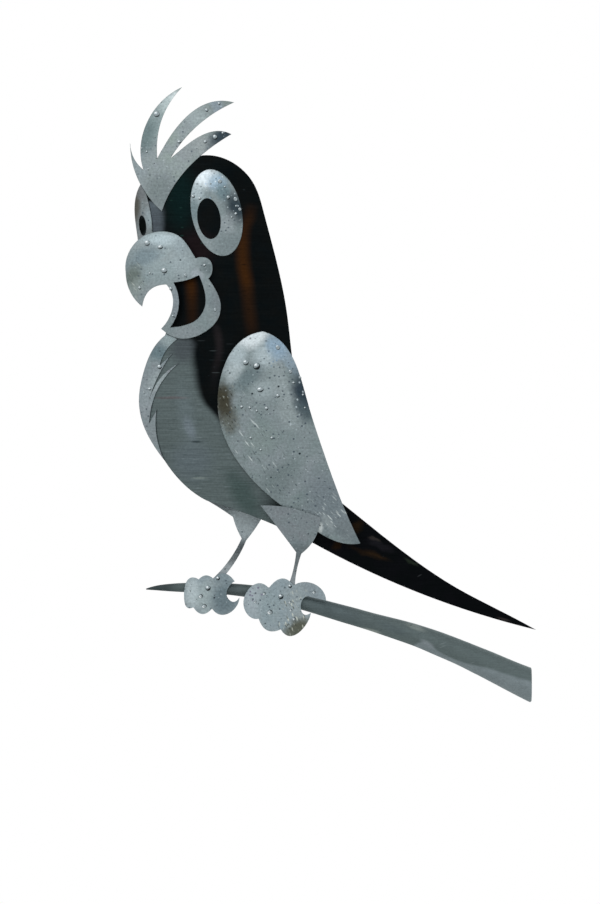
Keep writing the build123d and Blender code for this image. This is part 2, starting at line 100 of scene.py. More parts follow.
# ------------------------------------------------------------------ small tools


def linear(hex_colour: str) -> tuple[float, float, float, float]:
    """Turn an sRGB hex colour into the linear colour that shaders take.

    Args:
        hex_colour: Six hex digits with a leading hash.

    Returns:
        Red, green, blue and an alpha of one.
    """
    parts = [int(hex_colour[i : i + 2], 16) / 255 for i in (1, 3, 5)]
    red, green, blue = [c / 12.92 if c <= 0.04045 else ((c + 0.055) / 1.055) ** 2.4 for c in parts]
    return (red, green, blue, 1.0)


def cleared_tree(owner: Material | bpy.types.World) -> Tree:
    """Turn on the nodes of a material or world and take the default ones out."""
    owner.use_nodes = True
    owner.node_tree.nodes.clear()
    return owner.node_tree


def add_node(
    tree: Tree, kind: str, inputs: dict[str | int, object] | None = None, **settings: object
) -> bpy.types.Node:
    """Add one shader node with its settings, values and links.

    Args:
        tree: The node tree that gets the node.
        kind: The node's type name.
        inputs: Input names or numbers, each with a value, a socket, or a node whose first output is used.
        **settings: Properties set on the node itself.

    Returns:
        The new node.
    """
    node = tree.nodes.new(kind)
    for key, value in settings.items():
        setattr(node, key, value)
    for key, value in (inputs or {}).items():
        source = value.outputs[0] if isinstance(value, bpy.types.Node) else value
        if isinstance(source, Socket):
            tree.links.new(source, node.inputs[key])
        else:
            node.inputs[key].default_value = source
    return node


def tint(tree: Tree, amount: object, below: object, above: object, blend: str = "MIX") -> Socket:
    """Lay one colour over another.

    Args:
        tree: The material's node tree.
        amount: How much of the upper colour shows, as a number, a node or a socket.
        below: The lower colour.
        above: The upper colour.
        blend: How the two colours combine.

    Returns:
        The socket that carries the result.
    """
    colours = {0: amount, 6: below, 7: above}
    return add_node(tree, "ShaderNodeMix", colours, data_type="RGBA", blend_type=blend).outputs[2]


def finished_object(name: str, bm: Mesh, sharp_angle: float = 20.0) -> Piece:
    """Turn a bmesh into a smooth-shaded object at the origin.

    Args:
        name: The object's name.
        bm: The mesh, in metres, where the piece belongs. It is freed.
        sharp_angle: Edges that turn by more than this many degrees stay crisp.

    Returns:
        The linked object.
    """
    mesh = bpy.data.meshes.new(name)
    bm.to_mesh(mesh)
    bm.free()
    mesh.shade_smooth()
    mesh.set_sharp_from_angle(angle=math.radians(sharp_angle))
    piece = bpy.data.objects.new(name, mesh)
    bpy.context.scene.collection.objects.link(piece)
    return piece


def hang(piece: Piece, finish: Material, body: str, node: str | None = None) -> Piece:
    """Dress a piece and tell the frame where it belongs.

    Args:
        piece: The finished object.
        finish: Its surface.
        body: The body that it rides on.
        node: The CAD node that it stands for, if it stands for one.

    Returns:
        The same piece.
    """
    piece.data.materials.append(finish)
    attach(piece, body)
    if node:
        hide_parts(node)
    return piece


def dress(node: str, finish: Material) -> None:
    """Put a material on a CAD node that keeps its own shape."""
    slots = frame["nodes"][node].data.materials
    slots.clear()
    slots.append(finish)


def merged_copy(node: str) -> Mesh:
    """Copy a CAD node's mesh and join its loose triangles.

    Args:
        node: The node's name.

    Returns:
        The mesh, in metres.
    """
    bm = bmesh.new()
    bm.from_mesh(frame["nodes"][node].data)
    bmesh.ops.remove_doubles(bm, verts=bm.verts, dist=NODE_WELD * MM)
    return bm


# ------------------------------------------------------------------ paint layers


class Layer:
    """A colour that lies over what is below it, as far as it covers.

    Attributes:
        colour: The colour that it lays.
    """

    colour: str

    def cover(self, tree: Tree, place: Socket) -> Socket:
        """Say how much the layer covers at each place.

        Args:
            tree: The material's node tree.
            place: The point on the piece, in millimetres.

        Returns:
            The socket that carries the share, from zero to one.
        """
        raise NotImplementedError

    def paint(self, tree: Tree, place: Socket, below: Socket) -> Socket:
        """Lay the colour over the colour below and return the result."""
        return tint(tree, self.cover(tree, place), below, linear(self.colour))


@dataclass(frozen=True)
class Patch(Layer):
    """A soft-edged oval of another colour.

    Attributes:
        centre: Where it lies, as x and z in millimetres.
        reach: Half its width and half its height.
        colour: Its colour.
        strength: How much it covers at its middle.
        lean: Degrees that its top leans towards +X.
        ragged: How far its edge wanders, in millimetres.
    """

    centre: Pair
    reach: Pair
    colour: str
    strength: float = 1.0
    lean: float = 0.0
    ragged: float = 3.0

    def cover(self, tree: Tree, place: Socket) -> Socket:
        """Cover the middle of the oval and fade out at a wandering edge.

        Args:
            tree: The material's node tree.
            place: The point on the piece, in millimetres.

        Returns:
            The socket that carries the share.
        """
        wander = add_node(tree, "ShaderNodeTexNoise", {"Vector": place, "Scale": EDGE_WAVES, "Detail": 5.0})
        moved = add_node(
            tree,
            "ShaderNodeVectorMath",
            {0: wander.outputs["Color"], 1: (self.ragged * 2,) * 3, 2: place},
            operation="MULTIPLY_ADD",
        )
        local = add_node(
            tree,
            "ShaderNodeMapping",
            {
                "Vector": moved,
                "Location": (self.centre[0] + self.ragged, 0, self.centre[1] + self.ragged),
                "Rotation": (0, math.radians(self.lean), 0),
                "Scale": (self.reach[0] * PATCH_SPREAD, PATCH_DEPTH, self.reach[1] * PATCH_SPREAD),
            },
            vector_type="TEXTURE",
        )
        ball = add_node(tree, "ShaderNodeTexGradient", {"Vector": local}, gradient_type="SPHERICAL")
        soft = {0: ball.outputs[1], 2: PATCH_FULL, 4: self.strength}
        return add_node(tree, "ShaderNodeMapRange", soft, interpolation_type="SMOOTHSTEP").outputs[0]


@dataclass(frozen=True)
class Marks(Patch):
    """Scattered pits, flecks or scratches inside an oval.

    Attributes:
        share: Share of the cells that hold a mark.
        cell: Length and width of the cell that holds one mark, in millimetres.
        size: Smallest and largest half-size of a mark, as shares of its cell.
        turn: Degrees that the cells turn from level.
    """

    share: float = 0.5
    cell: Pair = (4.0, 4.0)
    size: Pair = (0.08, 0.17)
    turn: float = 0.0

    def cover(self, tree: Tree, place: Socket) -> Socket:
        """Cover the marks of the chosen cells, as far as the oval reaches.

        Args:
            tree: The material's node tree.
            place: The point on the piece, in millimetres.

        Returns:
            The socket that carries the share.
        """
        turning = {"Vector": place, "Angle": math.radians(self.turn)}
        turned = add_node(tree, "ShaderNodeVectorRotate", turning, rotation_type="Y_AXIS")
        scale = (1 / self.cell[0], 1 / CELL_DEPTH, 1 / self.cell[1])
        grid = add_node(tree, "ShaderNodeMapping", {"Vector": turned, "Scale": scale})
        cells = add_node(tree, "ShaderNodeTexVoronoi", {"Vector": grid, "Scale": 1.0})
        dice = add_node(tree, "ShaderNodeSeparateColor", {0: cells.outputs["Color"]})
        chosen = add_node(tree, "ShaderNodeMath", {0: dice, 1: self.share}, operation="LESS_THAN")
        size = add_node(tree, "ShaderNodeMapRange", {0: dice.outputs[1], 3: self.size[0], 4: self.size[1]})
        core = add_node(tree, "ShaderNodeMath", {0: size, 1: MARK_CORE}, operation="MULTIPLY")
        fade = {0: cells.outputs["Distance"], 1: size, 2: core}
        dot = add_node(tree, "ShaderNodeMapRange", fade, interpolation_type="SMOOTHSTEP")
        shown = add_node(tree, "ShaderNodeMath", {0: dot, 1: chosen}, operation="MULTIPLY")
        oval = super().cover(tree, place)
        return add_node(tree, "ShaderNodeMath", {0: shown, 1: oval}, operation="MULTIPLY").outputs[0]


class Axis(Enum):
    """The direction that a listed curve runs along."""

    LEVEL = 0
    UPRIGHT = 2


def drawn_curve(tree: Tree, place: Socket, points: list[Pair], axis: Axis) -> Socket:
    """Read a listed curve at each place.

    Args:
        tree: The material's node tree.
        place: The point, in millimetres.
        points: The curve's points, as distance along the axis and value, in rising order.
        axis: The direction that the curve runs along.

    Returns:
        The socket that carries the curve's value.
    """
    low, high = points[0][0], points[-1][0]
    values = [value for _, value in points]
    span = (min(values) - 1, max(values) + 1)
    along = add_node(tree, "ShaderNodeSeparateXYZ", {0: place}).outputs[axis.value]
    share = add_node(tree, "ShaderNodeMapRange", {0: along, 1: low, 2: high})
    curve = add_node(tree, "ShaderNodeFloatCurve", {"Value": share})
    line = curve.mapping.curves[0].points
    scaled = [((at - low) / (high - low), (value - span[0]) / (span[1] - span[0])) for at, value in points]
    line[0].location, line[1].location = scaled[0], scaled[-1]
    for point in scaled[1:-1]:
        line.new(*point)
    curve.mapping.update()
    return add_node(tree, "ShaderNodeMapRange", {0: curve, 3: span[0], 4: span[1]}).outputs[0]


@dataclass(frozen=True)
class Streak(Layer):
    """A soft upright band that wanders from side to side.

    Attributes:
        path: Its points from low to high, as z, x and how strong it is there.
        half_width: How far it fades out to each side, in millimetres.
        colour: Its colour.
    """

    path: tuple[Triple, ...]
    half_width: float
    colour: str

    def cover(self, tree: Tree, place: Socket) -> Socket:
        """Cover the middle of the band, as strongly as its points say.

        Args:
            tree: The material's node tree.
            place: The point on the piece, in millimetres.

        Returns:
            The socket that carries the share.
        """
        middle = drawn_curve(tree, place, [(z, x) for z, x, _ in self.path], Axis.UPRIGHT)
        power = drawn_curve(tree, place, [(z, strength) for z, _, strength in self.path], Axis.UPRIGHT)
        side = add_node(tree, "ShaderNodeSeparateXYZ", {0: place})
        away = add_node(tree, "ShaderNodeMath", {0: side, 1: middle}, operation="SUBTRACT")
        away = add_node(tree, "ShaderNodeMath", {0: away}, operation="ABSOLUTE")
        fade = {0: away, 1: self.half_width, 2: 0.0}
        near = add_node(tree, "ShaderNodeMapRange", fade, interpolation_type="SMOOTHSTEP")
        return add_node(tree, "ShaderNodeMath", {0: near, 1: power}, operation="MULTIPLY").outputs[0]


@dataclass(frozen=True)
class Divide(Layer):
    """A soft border with another colour on its -X side, or under it when it runs level.

    Attributes:
        path: The border's points: distance along it, where it is across, and how wide its fade is.
        colour: The colour on the far side of the border.
        axis: The direction that the border runs along.
    """

    path: tuple[Triple, ...]
    colour: str
    axis: Axis = Axis.UPRIGHT

    def cover(self, tree: Tree, place: Socket) -> Socket:
        """Cover one side of the border.

        Args:
            tree: The material's node tree.
            place: The point on the piece, in millimetres.

        Returns:
            The socket that carries the share.
        """
        across = Axis.LEVEL if self.axis is Axis.UPRIGHT else Axis.UPRIGHT
        border = drawn_curve(tree, place, [(along, at) for along, at, _ in self.path], self.axis)
        fade = drawn_curve(tree, place, [(along, width) for along, _, width in self.path], self.axis)
        side = add_node(tree, "ShaderNodeSeparateXYZ", {0: place}).outputs[across.value]
        past = add_node(tree, "ShaderNodeMath", {0: border, 1: side}, operation="SUBTRACT")
        past = add_node(tree, "ShaderNodeMath", {0: past, 1: fade}, operation="DIVIDE")
        step = {0: past, 1: -0.5, 2: 0.5}
        return add_node(tree, "ShaderNodeMapRange", step, interpolation_type="SMOOTHSTEP").outputs[0]


# ------------------------------------------------------------------ finishes


class Projection(Enum):
    """How a pattern lies on a piece: straight through a flat sheet, or all round a solid one."""

    THROUGH_SHEET = 0.0
    ALL_ROUND = 1.0


@dataclass(frozen=True)
class SteelFinish:
    """A steel surface with rolled mottling, brushing, pits and stains.

    Attributes:
        name: The material's name.
        base: Main colour of the metal.
        mottle: Second colour that drifts through it.
        metallic: Share of the surface that reflects as bare metal.
        roughness: Middle roughness.
        roughness_drift: How far the roughness goes to each side of the middle.
        mottle_size: Size of the drifting clouds, in millimetres.
        grain: Strength of the fine light and dark grain.
        brush_angle: Direction of the brushing, in degrees from level.
        brush: Strength of the brushing.
        layers: Patches, marks, streaks and borders, from the bottom up.
        projection: How the pattern lies on the piece.
    """

    name: str
    base: str
    mottle: str
    metallic: float = 0.9
    roughness: float = 0.42
    roughness_drift: float = 0.07
    mottle_size: float = 14.0
    grain: float = 0.15
    brush_angle: float = 0.0
    brush: float = 0.1
    layers: tuple[Layer, ...] = ()
    projection: Projection = Projection.THROUGH_SHEET

    def material(self) -> Material:
        """Build the node material.

        Returns:
            The material, which reads Object coordinates.
        """
        material = bpy.data.materials.new(self.name)
        tree = cleared_tree(material)
        where = add_node(tree, "ShaderNodeTexCoord").outputs["Object"]
        scale = (1 / MM, self.projection.value / MM, 1 / MM)
        place = add_node(tree, "ShaderNodeMapping", {"Vector": where, "Scale": scale}).outputs[0]
        drifting = {"Vector": place, "Scale": 1 / self.mottle_size, "Detail": 6.0, "Roughness": 0.62}
        clouds = add_node(tree, "ShaderNodeTexNoise", drifting)
        drift = add_node(tree, "ShaderNodeMapRange", {0: clouds, 1: CLOUD_BAND[0], 2: CLOUD_BAND[1]})
        colour = tint(tree, drift, linear(self.base), linear(self.mottle))
        for layer in self.layers:
            colour = layer.paint(tree, place, colour)
        brushing = self._brushing(tree, place)
        speckle = {"Vector": place, "Scale": GRAIN_WAVES, "Detail": 4.0, "Roughness": 0.7}
        grain = add_node(tree, "ShaderNodeTexNoise", speckle).outputs[0]
        colour = tint(tree, 1.0, colour, self._shade(tree, brushing, grain), "MULTIPLY")
        least, most = self.roughness - self.roughness_drift, self.roughness + self.roughness_drift
        polish = {0: clouds, 1: POLISH_BAND[0], 2: POLISH_BAND[1], 3: least, 4: most}
        rough = add_node(tree, "ShaderNodeMapRange", polish)
        height = add_node(tree, "ShaderNodeMath", {0: grain, 1: brushing}, operation="ADD")
        relief = {"Height": height, "Strength": 0.25, "Distance": RELIEF * MM}
        bump = add_node(tree, "ShaderNodeBump", relief)
        surface = {"Base Color": colour, "Metallic": self.metallic, "Roughness": rough, "Normal": bump}
        shader = add_node(tree, "ShaderNodeBsdfPrincipled", surface)
        add_node(tree, "ShaderNodeOutputMaterial", {"Surface": shader})
        return material

    def _brushing(self, tree: Tree, place: Socket) -> Socket:
        """Draw long fine lines along the brushing direction.

        Args:
            tree: The material's node tree.
            place: The point on the piece, in millimetres.

        Returns:
            The socket that carries the lines' height, around a half.
        """
        lines = {
            "Vector": place,
            "Rotation": (0, math.radians(self.brush_angle), 0),
            "Scale": (1 / BRUSH_LINE[0], 1, 1 / BRUSH_LINE[1]),
        }
        along = add_node(tree, "ShaderNodeMapping", lines)
        return add_node(tree, "ShaderNodeTexNoise", {"Vector": along, "Scale": 1.0, "Detail": 3.0}).outputs[0]

    def _shade(self, tree: Tree, brushing: Socket, grain: Socket) -> Socket:
        """Lighten and darken the steel along the brushing and the grain.

        Args:
            tree: The material's node tree.
            brushing: Height of the brushed lines.
            grain: Height of the grain.

        Returns:
            The socket that carries a brightness factor near one.
        """
        low, high = SHADE_BAND
        lines = {0: brushing, 1: low, 2: high, 3: 1 - self.brush, 4: 1 + self.brush}
        specks = {0: grain, 1: low, 2: high, 3: 1 - self.grain, 4: 1 + self.grain}
        from_lines, from_specks = (add_node(tree, "ShaderNodeMapRange", each) for each in (lines, specks))
        both = {0: from_lines, 1: from_specks}
        return add_node(tree, "ShaderNodeMath", both, operation="MULTIPLY").outputs[0]


def pitting(centre: Pair, reach: Pair, share: float = 0.5) -> tuple[Marks, ...]:
    """Pits where the zinc coat has lifted: dark ones of two sizes, with pale flecks between them.

    Args:
        centre: Middle of the pitted area, as x and z in millimetres.
        reach: Half its width and half its height.
        share: Share of the cells that hold a pit.

    Returns:
        The marks, from the bottom up.
    """
    return (
        Marks(centre, reach, "#a3aeb2", 0.5, share=share * 0.7, cell=(3.3, 2.6), size=(0.12, 0.24), turn=30),
        Marks(centre, reach, "#47525a", 0.9, share=share, cell=(3.4, 3.0), size=(0.16, 0.3)),
        Marks(centre, reach, "#20282e", 1.0, share=share, cell=(7.0, 6.0), size=(0.09, 0.16), turn=20),
    )


# Galvanised sheet that has weathered: cool grey zinc with drifting clouds, a few stains and small
# dark pits, so it looks soft and stony rather than shining like a mirror. The near eye, the beak and the wing
# also carry painted highlights along their tops, and the beak a painted shade band.
CREST_ZINC = SteelFinish(
    "galvanised_sheet_crest",
    "#778380",
    "#838c91",
    brush=0.04,
    layers=(
        Patch((-283, 418), (7, 16), "#7f8f91", 0.7, 20),
        Patch((-272, 436), (6, 8), "#a0adae", 0.8, 40, 1),
        Patch((-267, 441), (4, 5), "#bcc6c8", 0.7, 40, 1),
        Patch((-289, 412), (8, 16), "#59696b", 0.8, 15),
        Patch((-249, 424), (12, 8), "#8e9a9c", 0.7, 40),
        Patch((-236, 434), (11, 5), "#7d8b95", 0.7, 70),
        Patch((-258, 400), (8, 10), "#7f8789", 0.7, 40),
        Patch((-246, 403), (10, 6), "#8a9193", 0.6, 60),
        Patch((-237, 405), (7, 8), "#5d666b", 0.8, 60),
        Patch((-231, 411), (8, 10), "#323e46", 1.0, 60, 3),
        Patch((-304, 402), (6, 12), "#717c80", 0.6),
        Patch((-296, 386), (8, 10), "#828d92", 0.7),
        Patch((-277, 369), (13, 15), "#667072", 0.8),
        *pitting((-262, 392), (32, 40), 0.6),
        Marks((-229, 411), (12, 9), "#8b979c", 0.8, share=0.6, cell=(3.0, 3.0), size=(0.15, 0.3)),
        Marks((-238, 434), (16, 8), "#aab8c0", 0.7, share=0.5, cell=(3.4, 2.6), size=(0.12, 0.28), turn=40),
    ),
)

NEAR_EYE_ZINC = SteelFinish(
    "galvanised_sheet_near_eye",
    "#717e80",
    "#7f8a8d",
    brush=0.03,
    layers=(
        # Painted highlight across the top of the eye
        Patch((-245, 380), (10, 8), "#cbd6dc", 1.0, -10),
        Patch((-251, 369), (6, 9), "#9dabb0", 0.8),
        Patch((-236, 376), (8, 7), "#93a9b8", 0.9, 20, 4),
        Patch((-231, 369), (6, 7), "#62757b", 0.9),
        Patch((-253, 355), (4, 10), "#66767a", 0.8, 0, 1.5),
        Patch((-221, 357), (9, 12), "#303c43", 1.0, -15, 3),
        Patch((-227, 345), (7, 9), "#8b9498", 0.6),
        Patch((-226, 330), (13, 9), "#6e7a7d", 0.8),
        *pitting((-234, 355), (24, 36), 0.7),
        Marks((-237, 374), (11, 12), "#7f9cba", 0.8, share=0.5, cell=(3.2, 2.4), size=(0.16, 0.34), turn=-50),
        Marks((-239, 376), (12, 11), "#dfe7ea", 0.7, share=0.5, cell=(3.0, 2.4), size=(0.14, 0.3), turn=-50),
        Marks((-224, 362), (12, 20), "#a3b0b6", 0.8, share=0.55, cell=(2.6, 2.6), size=(0.14, 0.3)),
    ),
)

FAR_EYE_ZINC = SteelFinish(
    "galvanised_sheet_far_eye",
    "#6c7678",
    "#767a7d",
    brush=0.03,
    layers=(
        Patch((-297, 359), (4, 14), "#4b4b46", 1.0, 0, 1),
        Patch((-287, 350), (3.5, 8), "#87959a", 0.7, 0, 1),
        Patch((-292, 369), (6, 6), "#5f6466", 0.7),
        *pitting((-291, 352), (12, 24), 0.6),
    ),
)

BEAK_ZINC = SteelFinish(
    "galvanised_sheet_beak",
    "#7b898c",
    "#848e91",
    brush=0.04,
    brush_angle=35,
    layers=(
        # Painted highlight along the top edge of the beak
        Patch((-277, 333), (15, 5), "#96a4a9", 1.0, 0, 1.5),
        Patch((-262, 328), (9, 7), "#818d92", 0.7),
        # Painted shade: a darker band across the middle of the upper beak
        Patch((-290, 320), (14, 7), "#6b7a80", 0.9, -25),
        Patch((-262, 314), (10, 9), "#8c999d", 0.8),
        Patch((-276, 309), (9, 8), "#818f92", 0.7),
        Patch((-299, 305), (7, 10), "#5f6a66", 0.9, 20, 4),
        Patch((-296, 297), (6, 8), "#838e8c", 0.7, 20),
        Patch((-243, 312), (5, 5), "#657174", 0.9, 0, 1),
        Patch((-251, 306), (5, 5), "#969fa6", 0.7),
        Patch((-235, 288), (6, 12), "#727b80", 0.7),
        Patch((-258, 263), (16, 5), "#858f94", 0.7),
        Patch((-266, 285), (4, 14), "#818a91", 0.7),
        *pitting((-265, 300), (44, 46), 0.55),
        Marks((-299, 300), (9, 20), "#aab1ad", 0.7, share=0.6, cell=(9, 1.5), size=(0.15, 0.4), turn=-50),
        Marks((-296, 310), (9, 16), "#454f4c", 0.6, share=0.5, cell=(7, 1.4), size=(0.15, 0.4), turn=-50),
    ),
)

BIB_ZINC = SteelFinish(
    "galvanised_sheet_bib",
    "#7b8a8d",
    "#858a90",
    brush=0.04,
    layers=(
        Patch((-279, 249), (9, 7), "#62747a", 0.9),
        Patch((-272, 258), (6, 5), "#8c9b9e", 0.8),
        Patch((-290, 214), (6, 14), "#8b959a", 0.7),
        Patch((-280, 228), (6, 10), "#98a4a6", 0.6, 30),
        Patch((-284, 190), (7, 14), "#7c888b", 0.6),
        *pitting((-284, 222), (20, 50), 0.55),
    ),
)

WING_ZINC = SteelFinish(
    "galvanised_sheet_wing",
    "#717f80",
    "#7f898d",
    brush=0.05,
    brush_angle=-40,
    mottle_size=16,
    layers=(
        # Painted highlight across the top of the wing and down its top-left edge
        Patch((-209, 259), (14, 7), "#c6d0d4", 1.0, -20),
        Patch((-200, 246), (9, 10), "#a3b1b6", 0.9, -30),
        Patch((-221, 246), (8, 9), "#a2b0b5", 0.9, 20),
        Patch((-223, 234), (9, 7), "#a8b4b8", 0.7, -40),
        Patch((-213, 229), (13, 7), "#647377", 0.9, -40),
        Patch((-201, 221), (9, 8), "#8f9c9f", 0.8),
        Patch((-190, 253), (8, 11), "#879eb0", 0.9, -35, 4),
        Patch((-179, 240), (6, 10), "#8394a0", 0.8, -25, 4),
        Patch((-188, 226), (8, 16), "#8e999c", 0.7, -20),
        Patch((-182, 204), (8, 14), "#8c9799", 0.6, -15),
        Patch((-231, 212), (8, 17), "#3c3b31", 1.0, -5, 6),
        Patch((-226, 197), (7, 9), "#575b55", 0.8, -20, 6),
        Patch((-170, 217), (9, 19), "#2f3c45", 1.0, -20, 3),
        Patch((-171, 206), (6, 9), "#46545a", 0.8, -20),
        Patch((-203, 184), (12, 12), "#7a8887", 0.6),
        Patch((-190, 152), (20, 12), "#667274", 0.7, -45),
        Patch((-153, 137), (18, 26), "#69737a", 0.7, -20),
        Patch((-153, 122), (3, 8), "#a3acac", 0.3, -35, 1.5),
        Patch((-158.5, 118), (2.2, 4), "#b6bfbf", 0.9, 10, 1),
        Patch((-139, 116), (7, 9), "#5f696d", 0.8, -40),
        Patch((-138, 116), (4, 16), "#6f797d", 0.7, -40),
        Patch((-130, 108), (6, 6), "#5f6b6f", 0.7),
        *pitting((-190, 190), (58, 96), 0.6),
        *pitting((-168, 170), (32, 70), 0.6),
        Marks((-178, 222), (14, 34), "#a9b6bc", 0.8, share=0.55, cell=(2.8, 3.4), size=(0.14, 0.32), turn=20),
        Marks((-212, 172), (22, 44), "#b4bebe", 0.8, share=0.6, cell=(11, 1.8), size=(0.12, 0.36), turn=-52),
        Marks((-205, 168), (24, 46), "#4f5a5c", 0.7, share=0.55, cell=(8, 1.7), size=(0.12, 0.36), turn=-56),
        Marks((-182, 148), (26, 26), "#444f52", 0.8, share=0.5, cell=(4.6, 2.0), size=(0.12, 0.3), turn=-50),
        Marks((-228, 208), (14, 22), "#8c8f86", 0.7, share=0.6, cell=(5, 1.6), size=(0.12, 0.34), turn=-62),
        Marks((-228, 208), (16, 24), "#2a2a22", 0.8, share=0.6, cell=(4.4, 1.5), size=(0.12, 0.36), turn=-58),
        Marks((-190, 250), (12, 16), "#6a87a4", 0.8, share=0.5, cell=(3.0, 2.6), size=(0.16, 0.34), turn=50),
        Marks((-151, 126), (18, 16), "#b9c2c2", 0.8, share=0.7, cell=(9, 1.5), size=(0.2, 0.42), turn=-45),
    ),
)

LEG_ZINC = SteelFinish(
    "galvanised_sheet_legs",
    "#737f82",
    "#7b8287",
    roughness=0.58,
    brush=0.04,
    brush_angle=20,
    layers=(
        Patch((-215, 121), (15, 13), "#a2adb1", 1.0),
        # Painted light: a paler patch on the far shank where its bend is shaded
        Patch((-226, 90), (10, 16), "#8f979a", 0.9),
        Patch((-178, 82), (7, 12), "#8e969a", 0.8),
        Patch((-177, 103), (9, 6), "#6b777c", 0.6),
        *pitting((-198, 112), (54, 40), 0.6),
    ),
)

FOOT_ZINC = SteelFinish(
    "galvanised_sheet_feet",
    "#84939a",
    "#8c979a",
    brush=0.04,
    brush_angle=-60,
    layers=(
        Patch((-254, 69), (6, 12), "#a8b5b9", 0.9),
        Patch((-244, 66), (7, 12), "#96a4a6", 0.8),
        Patch((-230, 64), (11, 14), "#65747a", 1.0, 10, 1),
        Patch((-232, 80), (8, 5), "#75848a", 0.8),
        Patch((-209, 63), (8, 13), "#9ba7ad", 0.8),
        Patch((-196, 60), (9, 14), "#86969b", 0.7),
        Patch((-175, 42), (14, 7), "#565a50", 1.0, -25, 4),
        Patch((-166, 72), (12, 6), "#7d888e", 0.7, 60),
        *pitting((-212, 63), (66, 28), 0.65),
        Marks((-210, 68), (12, 12), "#665f78", 0.8, share=0.8, cell=(3.0, 2.6), size=(0.2, 0.42)),
        Marks((-178, 54), (16, 18), "#c3c8bd", 0.8, share=0.8, cell=(5, 1.5), size=(0.2, 0.42), turn=-75),
        Marks((-180, 52), (16, 18), "#4c5048", 0.8, share=0.8, cell=(4, 1.5), size=(0.2, 0.4), turn=-60),
    ),
)

# Mild steel sheet that was flame-blackened with oil: almost black, with brush marks on the belly. Painted
# light lies on it:
# the grey belly with its soft border is a painted reflection with a painted highlight, the black by the
# wing's lower edge stands for painted shadow of the wing, and the brown and grey upright streaks are painted
# reflection streaks.
BELLY_LAYERS = (
    # Painted reflection: the grey belly left of this soft border; low down the border runs along the wing,
    # where painted shadow of the wing falls
    Divide(
        (
            (112, -170, 8), (128, -180, 8), (138, -190, 8), (148, -200, 8),
            (170, -217, 8), (198, -234, 7), (205, -240, 7), (212, -246, 7),
            (221, -250, 8), (236, -253, 9), (255, -257, 10), (261, -259, 10),
            (268, -285, 6), (280, -310, 6),
        ),
        "#566162",
    ),
    # Painted highlight down the middle of the grey belly
    Patch((-259, 204), (7, 22), "#5e6a6d", 0.8, -8),
    Patch((-256, 192), (4, 10), "#6a757c", 0.8, -20, 1.5),
    Patch((-262, 252), (9, 12), "#454c50", 0.9),
    Patch((-255, 168), (16, 16), "#5a656a", 0.8),
    Patch((-216, 142), (22, 9), "#41504f", 0.9, 60),
    Patch((-270, 215), (13, 1.1), "#66565a", 0.4, 0, 0.4),
    Patch((-251, 182), (4, 0.8), "#333d40", 0.9, 0, 0.3),
    Patch((-249, 155), (6, 1.0), "#7a8684", 0.7, 0, 0.3),
    Marks((-245, 180), (50, 70), "#768286", 0.35, share=0.4, cell=(12, 1.6), size=(0.1, 0.34)),
    Marks((-250, 175), (50, 70), "#39474a", 0.45, share=0.4, cell=(9, 1.3), size=(0.1, 0.34)),
    Marks((-215, 300), (40, 60), "#2c2f2e", 0.8, share=0.16, cell=(8, 5.0), size=(0.06, 0.16)),
    # Painted reflection streak in brown, down the black of the body
    Streak(
        (
            (235, -209, 0.0), (256, -209, 0.1), (272, -210.4, 0.4), (290, -212.6, 0.5),
            (298, -213.4, 0.75), (303, -213.9, 1.0), (317, -216.2, 0.9), (330, -216.6, 0.8),
            (339, -216.0, 0.65), (349, -212.2, 0.45), (362, -210, 0.0),
        ),
        8.0,
        "#36200e",
    ),
    Marks((-213, 300), (8, 46), "#120d0a", 0.7, share=0.6, cell=(9, 1.6), size=(0.12, 0.36)),
)
BACK_SHELL_STEEL = SteelFinish(
    "flame_blackened_sheet",
    "#0a0f11",
    "#0e1010",
    metallic=1.0,
    roughness=0.38,
    grain=0.1,
    brush=0.13,
    layers=BELLY_LAYERS,
)
FRONT_SHELL_STEEL = replace(
    BACK_SHELL_STEEL,
    name="flame_blackened_sheet_face",
    layers=(
        Patch((-264, 366), (12, 26), "#0a1a1a", 0.8),
        Patch((-252, 326), (16, 14), "#1c1416", 0.7),
        *BELLY_LAYERS,
        # Painted sheen: grey along the face's left edge, next to the far eye
        Divide(
            (
                (312, -310, 6), (325, -292, 6), (334, -279.5, 9), (345, -277.5, 9),
                (358, -278.5, 9), (366, -300, 6), (380, -310, 6),
            ),
            "#4b545a",
        ),
        # More of the painted grey sheen beside the far eye
        Patch((-282, 345), (6, 12), "#42494f", 0.9),
        Patch((-291.5, 344), (5, 12), "#090c0c", 1.0, 0, 0),
        Marks((-262, 345), (22, 26), "#1a322d", 0.8, share=0.3, cell=(8, 3.0), size=(0.1, 0.24)),
        Marks((-232, 385), (34, 16), "#39454b", 0.8, share=0.22, cell=(7, 3.4), size=(0.08, 0.2), turn=-8),
        # Painted reflection streak in brown, down the face
        Streak(
            (
                (262, -254, 0.0), (271, -254, 0.3), (285, -254.5, 0.5), (297, -255, 0.9),
                (303, -256, 1.0), (310, -257, 0.0),
            ),
            7.0,
            "#321d0c",
        ),
        # Painted sheen: a faint grey-purple upright streak down the neck
        Streak(
            ((215, -239, 0.0), (235, -237, 0.3), (252, -234, 0.6), (262, -235, 0.6), (272, -238, 0.0)),
            5.0,
            "#262224",
        ),
    ),
)

